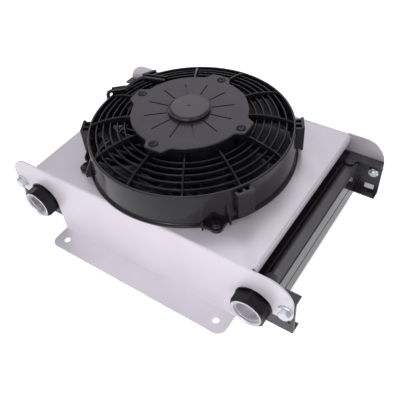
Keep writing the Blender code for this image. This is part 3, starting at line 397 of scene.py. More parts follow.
PLATE_TOP = high("shroud").z
EAR_END = high("shroud").x
FOOT_TIP = high("shroud").y
FOOT_WIDTH = 34.0
PANEL_Y = FOOT_TIP - FOOT_WIDTH
PORT_X, PORT_Z = middle("right_port_fitting").x, middle("right_port_fitting").z
EAR_BOLT_X, EAR_BOLT_Z = middle("front_right_ear_bolt").x, middle("front_right_ear_bolt").z
FAN_BOLT_RADIUS = middle("front_right_fan_bolt").xy.length
EAR_HOLE_RADIUS, FAN_BOLT_HOLE_RADIUS = 4.5, 3.4
ENDS = (("left", -1), ("right", 1))
CORNERS = [(f"{row}_{end}", sx, sy) for row, sy in (("front", -1), ("back", 1)) for end, sx in ENDS]
QUARTERS, DIAGONALS = (0, 90, 180, 270), (45, 135, 225, 315)


def ear_bolt_holes():
    return [cylinder(EAR_HOLE_RADIUS, -THROUGH, THROUGH, "Y", (side * EAR_BOLT_X, EAR_BOLT_Z), 32)
            for _, side in ENDS]


# ---- shroud

SHEET, BEND = 2.0, 3.0
PLATE_HALF_X, SIDE_FLANGE = 170.0, 11.0
SIDE_BEND_START, SIDE_OVERLAP, FLANGE_SETBACK = 4.0, 6.0, 5.0
FOOT_HOLE_X, FOOT_HOLE_Y, FOOT_HOLE_RADIUS, FOOT_CORNER = 127.0, 152.4, 4.25, 12.0
FAN_HOLE_RADIUS = 132.0
EAR_TOP_RADIUS, EAR_BOTTOM_RADIUS, EAR_BOTTOM = 32.0, 13.0, 48.0
PORT_CUT_RADIUS, PORT_CUT_BOTTOM, PORT_CUT_OVERRUN = 25.0, -5.0, 10.0


def folded_section():
    """The sheet from foot to foot, in YZ: foot, panel, plate, panel, foot."""
    inside = BEND - SHEET
    foot, plate = (-PANEL_Y - inside, BEND), (-PANEL_Y + BEND, PLATE_TOP - BEND)
    outer = [(-FOOT_TIP, SHEET)] + arc(foot, inside, -90, 0, 4) + arc(plate, BEND, 180, 90, 8)
    inner = [(-FOOT_TIP, 0.0)] + arc(foot, BEND, -90, 0, 8) + arc(plate, inside, 180, 90, 4)
    outer += [(-y, z) for y, z in reversed(outer)]
    inner += [(-y, z) for y, z in reversed(inner)]
    return outer + inner[::-1]


def ear_outline(side):
    """The rounded ear that carries the panel on past the plate, in XZ."""
    start, r, s = PLATE_HALF_X - SIDE_OVERLAP, EAR_TOP_RADIUS, EAR_BOTTOM_RADIUS
    points = [(start, EAR_BOTTOM), (start, PLATE_TOP)]
    points += arc((EAR_END - r, PLATE_TOP - r), r, 90, 0, 20)
    points += arc((EAR_END - s, EAR_BOTTOM + s), s, 0, -90, 10)
    return [(side * x, z) for x, z in points]


def port_cut_outline(side):
    """What the ear leaves free around and below the port, in XZ."""
    inner, edge, far = PORT_X - PORT_CUT_RADIUS, EAR_BOTTOM + CUT, EAR_END + PORT_CUT_OVERRUN
    points = [(inner, PORT_CUT_BOTTOM)] + arc((PORT_X, PORT_Z), PORT_CUT_RADIUS, 180, 0, 40)
    points += [(PORT_X + PORT_CUT_RADIUS, edge), (far, edge), (far, PORT_CUT_BOTTOM)]
    return [(side * x, z) for x, z in points]


def side_flange_outline(side):
    """The plate's short edge bent down, in XZ."""
    x, z = PLATE_HALF_X, PLATE_TOP
    centre = (x - BEND, z - BEND)
    points = [(x - SIDE_OVERLAP, z - SHEET), (x - SIDE_OVERLAP, z)] + arc(centre, BEND, 90, 0, 8)
    points += [(x, z - SIDE_FLANGE), (x - SHEET, z - SIDE_FLANGE)]
    points += arc(centre, BEND - SHEET, 0, 90, 4)
    return [(side * u, v) for u, v in points]


def foot_corner_cut(sx, sy):
    """Rounds a foot's outer corner."""
    x, y, r = PORT_X - PORT_CUT_RADIUS, FOOT_TIP, FOOT_CORNER
    points = [(x + CUT, y + CUT), (x - r, y + CUT)] + arc((x - r, y - r), r, 90, 0, 12)
    points.append((x + CUT, y - r))
    return prism([(sx * u, sy * v) for u, v in points], -CUT, SHEET + CUT)


def make_shroud():
    half = PLATE_HALF_X - SIDE_BEND_START
    flange_half = PANEL_Y - FLANGE_SETBACK
    steps = []
    for _, side in ENDS:
        ears = [prism(ear_outline(side), y, y + SHEET, "Y") for y in (-PANEL_Y, PANEL_Y - SHEET)]
        steps.append(add(*ears))
        steps.append(add(prism(side_flange_outline(side), -flange_half, flange_half, "Y")))
        steps.append(cut(prism(port_cut_outline(side), -THROUGH, THROUGH, "Y")))
    steps.append(cut(*[foot_corner_cut(sx, sy) for _, sx, sy in CORNERS]))
    start, end = PLATE_TOP - 10, PLATE_TOP + 10
    holes = [cylinder(FAN_HOLE_RADIUS, start, end, sides=128)]
    for _, sx, sy in CORNERS:
        holes.append(cylinder(FOOT_HOLE_RADIUS, -5, 5, centre=(sx * FOOT_HOLE_X, sy * FOOT_HOLE_Y)))
        bolt = (sx * FAN_BOLT_RADIUS * cos(pi / 4), sy * FAN_BOLT_RADIUS * sin(pi / 4))
        holes.append(cylinder(FAN_BOLT_HOLE_RADIUS, start, end, centre=bolt, sides=24))
    holes += ear_bolt_holes()
    steps += [cut(*holes), ("BEVEL", 0.4, 2, 40)]
    make("shroud_sheet", "shroud", POWDER,
            [prism(folded_section(), -half, half, "X")], steps, 25)


# ---- core, tanks, channels

WEB_THICKNESS, WEB_CORNER = 3.0, 2.0
LIP_WIDTH, LIP_TAB, LIP_CORNER = 15.0, 26.0, 5.0
LIP_OVERLAP = 0.5
LIP_TAB_START, LIP_TAB_END = 173.0, 186.0
CHANNEL_END = high("front_core_channel").x
CHANNEL_PORT_RADIUS = 18.0
WEB_HOLE_X, WEB_HOLE_Z, WEB_HOLE_RADIUS = 215.0, 43.5, 2.0
TANK_WALL, TANK_CORNER, CAP_HOLE_RADIUS = 3.0, 1.6, 12.0
FACE_GROOVE_HALF, FACE_GROOVE_DEPTH = 1.3, 1.2
SEAM_X, SEAM_DEPTH = 172.4, 2.2
TUBE_COUNT, TUBE_THICKNESS, TUBE_INSET = 23, 2.4, 1.5
HEADER_THICKNESS = 3.0
FIN_PITCH, FIN_THICKNESS, FIN_INSET, FIN_BITE = 3.2, 0.35, 2.2, 0.1


def lip_outline(side_x, outer, side_y):
    """The lip at a channel's end, in plan: a strip with a wider rounded tab over the tank."""
    r, edge, tab = LIP_CORNER, LIP_WIDTH, LIP_TAB
    points = [(LIP_TAB_START, LIP_OVERLAP), (CHANNEL_END, LIP_OVERLAP), (CHANNEL_END, edge)]
    points += arc((LIP_TAB_END + r, edge + r), r, 270, 180, 8)
    points += arc((LIP_TAB_END - r, tab - r), r, 0, 90, 8)
    points += arc((LIP_TAB_START + r, tab - r), r, 90, 180, 8)
    return [(side_x * x, outer - side_y * y) for x, y in points]


def make_channel(name, side_y, is_front):
    lo, hi = low(name), high(name)
    outer = hi.y if side_y > 0 else lo.y
    start, end = sorted((outer, outer - side_y * WEB_THICKNESS))
    outline = rounded_rectangle((lo.x, lo.z), (hi.x, hi.z), WEB_CORNER)
    holes = ear_bolt_holes()
    steps = []
    for _, side in ENDS:
        lip = lip_outline(side, outer, side_y)
        steps.append(add(*[prism(lip, z, z + SHEET) for z in (lo.z, hi.z - SHEET)]))
        if is_front:
            port, small = (side * PORT_X, PORT_Z), (side * WEB_HOLE_X, WEB_HOLE_Z)
            holes.append(cylinder(CHANNEL_PORT_RADIUS, -THROUGH, 0, "Y", port, 64))
            holes.append(cylinder(WEB_HOLE_RADIUS, -THROUGH, 0, "Y", small, 24))
    steps += [cut(*holes), ("BEVEL", 0.7, 3, 40)]
    make(name + "_plate", name, CHANNEL_BLACK,
            [prism(outline, start, end, "Y")], steps, 25)


def tank_outline(side):
    """A tank open towards the core, in XZ, with a groove along its face and a seam on its top."""
    lo, hi = low("right_tank"), high("right_tank")
    x0, x1, z0, z1 = lo.x, hi.x, lo.z, hi.z
    r, groove, depth, wall = TANK_CORNER, FACE_GROOVE_HALF, FACE_GROOVE_DEPTH, TANK_WALL
    seam = z1 - SEAM_DEPTH
    mid = (z0 + z1) / 2
    outer = [(x0, z0)] + arc((x1 - r, z0 + r), r, -90, 0, 6)
    outer += [(x1, mid - groove), (x1 - depth * 0.75, mid - groove * 0.55), (x1 - depth, mid)]
    outer += [(x1 - depth * 0.75, mid + groove * 0.55), (x1, mid + groove)]
    outer += arc((x1 - r, z1 - r), r, 0, 90, 6)
    outer += arc((SEAM_X + 2.2, z1 - 1.4), 1.4, 90, 180, 5) + [(SEAM_X + 0.8, seam), (SEAM_X - 1.0, seam)]
    outer += arc((SEAM_X - 1.6, z1 - 0.6), 0.6, 0, 90, 3) + [(x0, z1)]
    inner = [(x0, z1 - wall), (x1 - wall, z1 - wall), (x1 - wall, z0 + wall), (x0, z0 + wall)]
    return [(side * x, z) for x, z in outer + inner]


def make_tanks():
    for name, side in ENDS:
        tank = f"{name}_tank"
        lo, hi = low(tank), high(tank)
        body = [prism(tank_outline(side), lo.y, hi.y, "Y")]
        make(tank + "_body", tank, TANK_BLACK, body, [("BEVEL", 0.3, 2, 50)], 25)
        throat = cylinder(CAP_HOLE_RADIUS, -THROUGH, 0, "Y", (side * PORT_X, PORT_Z))
        for end, cuts in (("front", [cut(throat)]), ("back", [])):
            node = f"{tank}_{end}_cap"
            a, b = low(node), high(node)
            plate = [prism(rounded_rectangle((a.x, a.z), (b.x, b.z), TANK_CORNER), a.y, b.y, "Y")]
            make(node + "_plate", node, TANK_BLACK, plate, cuts + [("BEVEL", 0.4, 2, 50)], 25)


def zigzag(x0, x1, y0, y1):
    """A corrugated fin seen from above: folds that run from tube to tube."""
    count = int((x1 - x0) / FIN_PITCH)
    step = (x1 - x0) / count
    front = [(x0, y1)]
    for i in range(1, count):
        ends = (y0, y1) if i % 2 == 0 else (y1, y0)
        front += [(x0 + i * step, y) for y in ends]
    front.append((x0 + count * step, y0 if count % 2 == 0 else y1))
    back = [(x + FIN_THICKNESS, y) for x, y in reversed(front)]
    return front + back


def make_core():
    lo, hi = low("brazed_core"), high("brazed_core")
    pitch = (hi.y - lo.y - 2 * TUBE_INSET) / (TUBE_COUNT - 1)
    x0, x1 = lo.x + HEADER_THICKNESS, hi.x - HEADER_THICKNESS
    centres = [lo.y + TUBE_INSET + i * pitch for i in range(TUBE_COUNT)]
    r = TUBE_THICKNESS / 2
    section = arc((0, hi.z - TUBE_INSET - r), r, 0, 180, 6)
    section += arc((0, lo.z + TUBE_INSET + r), r, 180, 360, 6)
    tubes = [prism([(y + u, v) for u, v in section], x0 - 0.5, x1 + 0.5, "X") for y in centres]
    fins = []
    for y in centres[:-1]:
        outline = zigzag(x0 + 0.6, x1 - 1.0, y + r - FIN_BITE, y + pitch - r + FIN_BITE)
        fins.append(prism(outline, lo.z + FIN_INSET, hi.z - FIN_INSET))
    make("core_tubes_and_fins", "brazed_core", BRAZED, tubes + fins, (), 40)
    headers = [box((a, lo.y, lo.z), (b, hi.y, hi.z)) for a, b in ((lo.x, x0), (x1, hi.x))]
    make("core_headers", "brazed_core", BRAZED, headers, [("BEVEL", 0.5, 2, 40)], 25)


# ---- ports and fasteners

PORT_BORE_RADIUS, PORT_BORE_DEPTH, PORT_THREAD_DEPTH, PORT_THREAD_PITCH = 16.6, 15.0, 1.15, 2.12
PORT_MOUTH, PORT_MOUTH_DEPTH = 1.3, 1.4
PORT_NECK_RADIUS, PORT_THROAT_RADIUS, PORT_CHAMFER = 17.5, 12.0, 3.1
HEX_HALF, EAR_BOLT_RADIUS, EAR_THREAD_DEPTH, EAR_THREAD_PITCH = 6.5, 3.95, 0.55, 1.25
HEAD_CHAMFER, WASHER_INNER, WASHER_OUTER = 1.71, 4.4, 10.0
FAN_BOLT_HEAD_HEIGHT, FAN_BOLT_SHANK, SOCKET_RADIUS, SOCKET_DEPTH = 4.4, 3.0, 2.7, 2.4


def thread_profile(major, depth, start, end, pitch):
    """Radius and height of a row of 60 degree ridges, from start to end."""
    count = int((end - start) / pitch)
    minor = major - depth
    points = []
    for i in range(count):
        z = start + i * pitch
        points += [(major, z), (major, z + pitch * 0.15)]
        points += [(minor, z + pitch * 0.5), (minor, z + pitch * 0.65)]
    return points + [(major, start + count * pitch)]


def make_port(name, side):
    """A fitting drawn about +Z with its face at the far end, then laid along -Y."""
    lo, hi = low(name), high(name)
    face, tank = -lo.y, -hi.y
    hex_back = PANEL_Y - SHEET
    half = (hi.x - lo.x) / 2
    bore, floor = PORT_BORE_RADIUS, face - PORT_BORE_DEPTH
    hexagon = prism(polygon(half / cos(pi / 6), 6, 30), hex_back, face)
    rim = half + 4.4
    cone = on_axis([(0, hex_back - CUT), (rim, hex_back - CUT), (rim, face - PORT_CHAMFER),
            (half - 0.4, face), (0, face)])
    neck = cylinder(PORT_NECK_RADIUS, tank, hex_back + 2, sides=64)
    threads = thread_profile(bore, PORT_THREAD_DEPTH, floor + 0.6, face - 1.8, PORT_THREAD_PITCH)
    mouth = bore + PORT_MOUTH
    cutter = [(0, floor), (bore, floor)] + threads
    cutter += [(bore, face - PORT_MOUTH_DEPTH), (mouth, face + 0.1), (mouth, face + 3), (0, face + 3)]
    throat = cylinder(PORT_THROAT_RADIUS, tank - 5, face)
    drawn = (hexagon, cone, neck, on_axis(cutter), throat)
    hexagon, cone, neck, cutter, throat = [towards(s, "-Y", side * PORT_X, 0, PORT_Z) for s in drawn]
    steps = [keep(cone), ("BEVEL", 0.5, 2, 30), add(neck)]
    steps += [cut(cutter), cut(throat)]
    axis = Vector((side * PORT_X, 0, PORT_Z))
    mesh = make(name + "_body", name, [PORT_BLACK, MACHINED], [hexagon], steps, 25)

    def bare(centre, normal):
        """The bore, its mouth and the flat face are machined after painting."""
        radius = (Vector((centre.x, 0, centre.z)) - axis).length
        on_face = normal.y < -0.9 and centre.y < -face + 0.3
        in_mouth = radius < bore + 1.6 and centre.y < -face + 2
        return radius < bore + 0.3 or on_face or in_mouth

    paint_faces(mesh, 1, bare)


def reach(node):
    """A node's nearest and furthest distance from the middle along Y."""
    return sorted(abs(v) for v in (low(node).y, high(node).y))


def make_ear_bolt(node, washer_high, nut_low, lay):
    """A flanged hexagon bolt: head, collar and threaded shank."""
    shank_end, head_top = reach(node)
    start = washer_high + 0.3
    corner = HEX_HALF / cos(pi / 6)
    head = prism(polygon(corner, 6, 15), start, head_top)
    trim = on_axis([(0, start - CUT), (corner + 1, start - CUT), (corner + 1, head_top - HEAD_CHAMFER),
            (HEX_HALF - 0.3, head_top), (0, head_top)], 64)
    collar = cylinder(6.3, washer_high + 0.02, washer_high + 0.8)
    shank = cylinder(4.0, shank_end, washer_high + 0.6, sides=32)
    r = EAR_BOLT_RADIUS
    thread = [(6.0, shank_end - CUT), (3.0, shank_end - CUT), (3.2, shank_end), (r, shank_end + 0.7)]
    thread += thread_profile(r, EAR_THREAD_DEPTH, shank_end + 0.8, nut_low + 1, EAR_THREAD_PITCH)
    thread += [(4.2, nut_low + 2), (6.0, nut_low + 2)]
    steps = [keep(lay(trim)), ("BEVEL", 0.3, 2, 30), add(lay(collar))]
    steps += [add(lay(shank)), cut(lay(turned(thread, 48)))]
    make(node + "_body", node, ZINC, [lay(head)], steps)


def make_ear_washer(node, lay):
    start, end = reach(node)
    a, b = WASHER_INNER, WASHER_OUTER
    ring = turned([(a, start), (b - 0.3, start), (b, start + 0.3), (b, end - 0.5), (b - 0.5, end),
            (a + 0.4, end), (a, end - 0.3)], 64)
    make(node + "_body", node, ZINC, [lay(ring)])


def make_ear_nut(node, lay):
    """A hexagon nut chamfered at both ends."""
    start, end = reach(node)
    corner = HEX_HALF / cos(pi / 6)
    rim, flat = corner + 1, HEX_HALF - 0.3
    body = prism(polygon(corner, 6, 15), start, end)
    trim = [(0, start), (flat, start), (rim, start + 1.7), (rim, end - 1.7), (flat, end), (0, end)]
    hole = on_axis([(0, start - CUT), (5.3, start - CUT), (4.15, start + 0.6), (4.15, end + CUT),
            (0, end + CUT)], 48)
    steps = [keep(lay(on_axis(trim, 64))), ("BEVEL", 0.25, 2, 30), cut(lay(hole))]
    make(node + "_body", node, ZINC, [lay(body)], steps)


def make_ear_fasteners():
    for corner, sx, sy in CORNERS:
        def lay(shape, axis="+Y" if sy > 0 else "-Y", x=sx * EAR_BOLT_X):
            return towards(shape, axis, x, 0, EAR_BOLT_Z)

        washer, nut = f"{corner}_ear_washer", f"{corner}_ear_nut"
        make_ear_bolt(f"{corner}_ear_bolt", reach(washer)[1], reach(nut)[0], lay)
        make_ear_washer(washer, lay)
        make_ear_nut(nut, lay)


def star(radius, points=6):
    """A socket's outline: points and hollows in turn."""
    radii = (radius, radius * 0.72)
    return [(radii[i % 2] * cos(pi * i / points), radii[i % 2] * sin(pi * i / points))
            for i in range(points * 2)]


def make_fan_bolt(node):
    lo, hi, centre = low(node), high(node), middle(node)
    seat = hi.z - FAN_BOLT_HEAD_HEIGHT
    head = on_axis([(0, seat), (6.5, seat), (6.5, seat + 0.7), (5.2, seat + 1.5), (4.6, seat + 1.9),
            (4.6, seat + 3.9), (4.1, hi.z), (0, hi.z)], 48)
    shank = cylinder(FAN_BOLT_SHANK, lo.z, seat + 0.5, sides=32)
    socket = prism(star(SOCKET_RADIUS), hi.z - SOCKET_DEPTH, hi.z + CUT)
    head, shank, socket = [towards(s, "+Z", centre.x, centre.y) for s in (head, shank, socket)]
    make(node + "_body", node, BLACK_ZINC,
            [head], [add(shank), cut(socket)])


def make_fan_nut(node, centre):
    a, b = low(node), high(node)
    corner = (b.x - a.x) / 2
    flat, rim = corner * cos(pi / 6) - 0.2, corner + 0.5
    body = prism(polygon(corner, 6), a.z, b.z)
    trim = on_axis([(0, a.z), (flat, a.z), (rim, a.z + 1.5), (rim, b.z), (0, b.z)], 48)
    hole = cylinder(FAN_BOLT_HOLE_RADIUS, a.z - 2, b.z + 2, sides=32)
    body, trim, hole = [towards(s, "+Z", centre.x, centre.y) for s in (body, trim, hole)]
    make(node + "_body", node, BLACK_ZINC,
            [body], [keep(trim), cut(hole)])


def make_fan_bolts():
    for corner, _, _ in CORNERS:
        bolt = f"{corner}_fan_bolt"
        make_fan_bolt(bolt)
        make_fan_nut(f"{corner}_fan_nut", middle(bolt))


# ---- fan housing

FAN_BASE = low("fan_housing").z
RIM_TOP, RIM_INNER, RIM_FOOT = PLATE_TOP + 46.2, 131.0, 132.8
RING_RADII = (84.5, 94.0, 103.5, 113.0, 122.5)
RING_HALF, RING_DEPTH = 1.0, 4.5
GRILLE_RIM_HEIGHT, GRILLE_RISE, GRILLE_CURVE = 45.0, 9.2, 1.7
SPOKE_COUNT, SPOKE_HALF = 12, 1.15
# the top edge of a spoke: radius, height above the plate
SPOKE_TOP = ((132.5, 45.0), (130.0, 46.6), (127.0, 48.2), (122.5, 50.1), (118.0, 51.8), (111.5, 53.9),
    (105.0, 55.6), (98.5, 57.2), (92.0, 58.4), (87.0, 59.0), (82.0, 59.2), (70.0, 59.2))
SPOKE_KNEE = 105.0
LUG_START, LUG_HALF, LUG_RADIUS, LUG_THICKNESS = 134.0, 20.0, 8.5, 4.7
GUSSET_ANGLE, GUSSET_HALF = 6.6, 1.1
CLIP_ANGLES, CLIP_BASE, CLIP_TOP = (30, 150, 210, 330), PLATE_TOP + 8, PLATE_TOP + 45
CLIP_INNER, CLIP_OUTER, CLIP_HALF = 141.0, 144.5, 11.0
CLIP_POSTS, CLIP_POST_HALF = (-9.0, 0.5, 9.0), 1.6
COVER_BASE, COVER_TOP = PLATE_TOP + 60.0, high("motor_cover").z
COVER_SCREW_RADIUS = 75.7
HUB_INNER, HUB_OUTER, HUB_BOTTOM, HUB_TOP = 60.0, 72.0, PLATE_TOP + 42, COVER_BASE - GAP
BOSS_RADIUS, BOSS_DEPTH, SCREW_HOLE_RADIUS, SCREW_HOLE_DEPTH = 7.0, 16.0, 2.5, 13.0
LEAD_RADIUS = 2.6
LEAD_ROOM = LEAD_RADIUS + GAP
TROUGH_FLOOR, TROUGH_WALL, TROUGH_DEPTH, TROUGH_HEIGHT = PLATE_TOP + 47.2, 2.0, 4.0, 5.5


def grille_height(radius):
    """How high the domed grille is at a radius."""
    share = (RIM_INNER - radius) / (RIM_INNER - RING_RADII[0])
    return PLATE_TOP + GRILLE_RIM_HEIGHT + GRILLE_RISE * (1 - (1 - share) ** GRILLE_CURVE)


def round_topped(half_width, bottom, top, steps=6):
    """A rib's cross-section: straight sides and a round top."""
    points = [(-half_width * 1.15, bottom), (half_width * 1.15, bottom)]
    return points + arc((0.0, top - half_width), half_width, 0, 180, steps)


def spoke():
    """A rib from hub to rim, deepest inside the knee."""
    sections = []
    for r, top in SPOKE_TOP:
        bottom = 37.0 + (132.5 - r) * 0.32 if r > SPOKE_KNEE else 45.8 - (SPOKE_KNEE - r) * 0.02
        sections.append([(r, u, PLATE_TOP + v) for u, v in round_topped(SPOKE_HALF, bottom, top)])
    return loft(sections)


def grille_ring(radius):
    top = grille_height(radius)
    return turned([(radius + u, z) for u, z in round_topped(RING_HALF, top - RING_DEPTH, top)], 144)


def ring_wall():
    """The flange, the tapered wall and the rounded rim in one turned shape."""
    flange = high("fan_housing").x
    profile = [(RIM_FOOT, FAN_BASE), (flange, FAN_BASE)]
    profile += arc((flange - 1.0, FAN_BASE + 1.6), 1.0, 0, 90, 4)
    profile += [(137.2, FAN_BASE + 2.8), (136.4, FAN_BASE + 3.6)]
    profile += [(134.6, RIM_TOP - 6), (134.2, RIM_TOP - 2.2)]
    profile += arc((132.7, RIM_TOP - 1.5), 1.5, 0, 90, 5)
    profile += [(RIM_INNER + 0.4, RIM_TOP - 0.2), (RIM_INNER, RIM_TOP - 1.0)]
    return turned(profile + [(RIM_INNER, RIM_TOP - 8), (132.2, RIM_TOP - 14)], 144)


def lug():
    """A bolt lug on the flange, drawn at angle 0."""
    outline = [(LUG_START, -LUG_HALF)] + arc((FAN_BOLT_RADIUS, 0), LUG_RADIUS, -70, 70, 16)
    return prism(outline + [(LUG_START, LUG_HALF)], FAN_BASE, FAN_BASE + LUG_THICKNESS)


def gusset(angle):
    """A thin web between the ring wall and a lug."""
    outline = [(133.5, FAN_BASE + 2), (146.0, FAN_BASE + 2), (146.0, FAN_BASE + 8),
            (143.5, FAN_BASE + 13), (133.5, FAN_BASE + 33)]
    return about_z(prism(outline, -GUSSET_HALF, GUSSET_HALF, "Y"), angle)


def clip(angle):
    """A slotted clip: an outer plate held off the wall by three posts."""
    half = CLIP_POST_HALF
    plate = box((CLIP_INNER, -CLIP_HALF, CLIP_BASE), (CLIP_OUTER, CLIP_HALF, CLIP_TOP))
    posts = [box((133.0, y - half, CLIP_BASE + 2), (142.5, y + half, CLIP_TOP - 2)) for y in CLIP_POSTS]
    return [about_z(shape, angle) for shape in (plate, *posts)]


def trough_ends():
    """The lead's trough across the rim, in plan."""
    return on_circle(122.5, 172.3), on_circle(135.5, 178.6)


def clip_ends():
    """The lead's clip at the cover's edge, in plan."""
    return on_circle(81.5, 147.5), on_circle(105.5, 160.5)


def make_housing():
    lugs = [about_z(lug(), a) for a in DIAGONALS]
    gussets = [gusset(a + s * GUSSET_ANGLE) for a in DIAGONALS for s in (-1, 1)]
    hub_foot = arc((HUB_OUTER - 1, HUB_BOTTOM + 1), 1.0, -90, 0, 3)
    hub = turned([(HUB_INNER, HUB_BOTTOM)] + hub_foot + [(HUB_OUTER, HUB_TOP), (HUB_INNER, HUB_TOP)], 96)
    screw = (COVER_SCREW_RADIUS, 0)
    boss = cylinder(BOSS_RADIUS, HUB_TOP - BOSS_DEPTH, HUB_TOP, centre=screw)
    spokes = [about_z(spoke(), 360 / SPOKE_COUNT * i) for i in range(SPOKE_COUNT)]
    steps = [add(grille_ring(RING_RADII[-1])), add(*spokes)]
    steps += [add(*[grille_ring(r) for r in RING_RADII[:-1]]), add(hub)]
    steps += [add(*[about_z(boss, a) for a in QUARTERS]), add(*lugs), add(*gussets)]
    for angle in CLIP_ANGLES:
        steps += [add(shape) for shape in clip(angle)]
    start, end = trough_ends()
    floor = TROUGH_FLOOR
    block = bar(start, end, LEAD_ROOM + TROUGH_WALL, 0, floor - TROUGH_DEPTH, floor + TROUGH_HEIGHT)
    channel = bar(start, end, LEAD_ROOM, 10, floor, floor + 20)
    steps += [add(block), cut(channel)]
    screw_hole = cylinder(SCREW_HOLE_RADIUS, HUB_TOP - SCREW_HOLE_DEPTH, HUB_TOP + 5, centre=screw)
    bolt_hole = cylinder(FAN_BOLT_HOLE_RADIUS, 100, FAN_BASE + 10, centre=(FAN_BOLT_RADIUS, 0))
    holes = [about_z(screw_hole, a) for a in QUARTERS] + [about_z(bolt_hole, a) for a in DIAGONALS]
    steps.append(cut(*holes))
    make("fan_grille_and_ring", "fan_housing", FAN_BLACK, [ring_wall()], steps)


# ---- motor cover, cap and screws

COVER_RADIUS, LOBE_RADIUS, SHOULDER_RADIUS = 75.0, 85.0, 78.0
COVER_WALL, HOLLOW_INNER, HOLLOW_OUTER = 3.5, 18.0, 66.0
GROOVE_COUNT, GROOVE_FIRST_ANGLE, GROOVE_INNER, GROOVE_OUTER = 12, 10, 29.5, 56.5
GROOVE_HALF, GROOVE_DEPTH = 0.95, 1.3
POCKET_RADIUS, POCKET_DEPTH = 5.6, 2.2
BEARING_BOSS_RADIUS, BEARING_RADIUS, BEARING_DEPTH, SHAFT_HOLE_RADIUS = 16.0, 11.3, 7.3, 5.0
CAP_RADIUS, CAP_CORNER = 27.5, 3.6
CROSS_HALF, CROSS_REACH = 0.55, 3.0
SHADED_RIM_SLOPE = 0.88              # faces that lean more than this, as a cosine, take the darker glossy rim black: painted shade on the sides, with a real higher gloss


def cover_outline():
    """A disc with four screw lobes, each with a shoulder on one side."""
    points = []
    for screw in QUARTERS:
        points += arc((0, 0), COVER_RADIUS, screw - 71, screw - 10, 24)
        points += arc((0, 0), LOBE_RADIUS, screw - 5, screw + 12, 8)
        points.append(tuple(on_circle(SHOULDER_RADIUS, screw + 15.5)))
    return points


def groove(angle):
    """A round-ended cutter for one radial groove."""
    outline = arc((GROOVE_OUTER, 0), GROOVE_HALF, -90, 90, 6)
    outline += arc((GROOVE_INNER, 0), GROOVE_HALF, 90, 270, 6)
    return about_z(prism(outline, COVER_TOP - GROOVE_DEPTH, COVER_TOP + 2), angle)


def at_screws(shape):
    return [about_z(towards(shape, "+Z", COVER_SCREW_RADIUS), a) for a in QUARTERS]


def make_motor_cover():
    top, under = COVER_TOP, COVER_BASE - CUT
    ceiling = top - COVER_WALL
    hollow = turned([(HOLLOW_INNER, under), (HOLLOW_OUTER, under), (HOLLOW_OUTER, ceiling),
            (HOLLOW_INNER, ceiling)], 96)
    grooves = [groove(GROOVE_FIRST_ANGLE + 360 / GROOVE_COUNT * i) for i in range(GROOVE_COUNT)]
    r, seat = POCKET_RADIUS, top - POCKET_DEPTH
    pocket = on_axis([(0, seat), (r, seat), (r, top - 0.7), (r + 0.8, top + 0.1), (r + 0.8, top + 3),
            (0, top + 3)], 48)
    screw_hole = cylinder(2.6, COVER_BASE - 5, top, sides=32)
    bearing = low("upper_bearing").z
    steps = [("BEVEL", 1.3, 4, 30), cut(hollow), cut(*grooves)]
    steps += [cut(*at_screws(pocket)), cut(*at_screws(screw_hole))]
    steps.append(add(cylinder(BEARING_BOSS_RADIUS, bearing - 0.2, top - 3.0, sides=64)))
    steps.append(cut(cylinder(BEARING_RADIUS, bearing - 2, bearing + BEARING_DEPTH, sides=64)))
    steps.append(cut(cylinder(SHAFT_HOLE_RADIUS, bearing, top + 5, sides=48)))
    mesh = make("motor_cover_moulding", "motor_cover", [COVER_GREY, SHADED_RIM_BLACK],
            [prism(cover_outline(), COVER_BASE, top)], steps, 28)
    # the leaning side faces take the darker rim black: painted shade
    paint_faces(mesh, 1, lambda centre, normal: normal.z < SHADED_RIM_SLOPE)


def make_bearing_cap():
    lo, hi = low("bearing_cap").z, high("bearing_cap").z
    r, corner, recess = CAP_RADIUS, CAP_CORNER, SHAFT_HOLE_RADIUS
    profile = [(0, lo + 2.5), (recess, lo + 2.5), (recess, lo), (r - 0.3, lo), (r, lo + 0.3), (r, hi - 4.3)]
    profile += arc((r - corner, hi - 4.0), corner, 5, 75, 8) + [(r - 4.4, hi - 0.1), (r - 5.4, hi)]
    profile += [(2.1, hi), (1.6, hi - 0.4), (1.2, hi - 1.1), (0, hi - 1.2)]
    mesh = make("bearing_cap_moulding", "bearing_cap", [CAP_GREY, SHADED_RIM_BLACK],
            [on_axis(profile)], (), 28)
    # the leaning side faces take the darker rim black: painted shade
    paint_faces(mesh, 1, lambda centre, normal: normal.z < SHADED_RIM_SLOPE)


def make_cover_screws():
    """Pan heads with a cross recess, each turned by another angle."""
    half, far = CROSS_HALF, CROSS_REACH
    for number, angle in enumerate(QUARTERS):
        node = f"cover_screw_{number + 1}"
        bottom, seat, head = low(node).z, COVER_TOP - 1.9, high(node).z
        profile = [(0, bottom), (1.6, bottom), (2.2, bottom + 1.5), (2.2, seat), (4.9, seat)]
        profile += [(5.1, seat + 0.5), (4.7, seat + 1.4), (3.6, head - 0.15), (2.2, head), (0, head)]
        cross = [box((-u, -v, head - 1.5), (u, v, head + CUT)) for u, v in ((far, half), (half, far))]
        turn = 20 + 31 * number
        drawn = [about_z(s, turn) for s in (on_axis(profile, 48), *cross)]
        drawn = [about_z(towards(s, "+Z", COVER_SCREW_RADIUS), angle) for s in drawn]
        screw, slot, other_slot = drawn
        make(node + "_body", node, BLACK_ZINC,
                [screw], [cut(slot), cut(other_slot)])


# ---- motor lead

CLIP_BOTTOM, CLIP_LEVEL = low("lead_clip").z, 4.0
CLIP_HALF_WIDTH, CLIP_HEIGHT = 5.5, 8.0
OUTSIDE_RADIUS, OUTSIDE_ANGLE = 139.0, 181.0
RIB_DEPTH = 0.18              # how far the sleeve's fine ribs sink


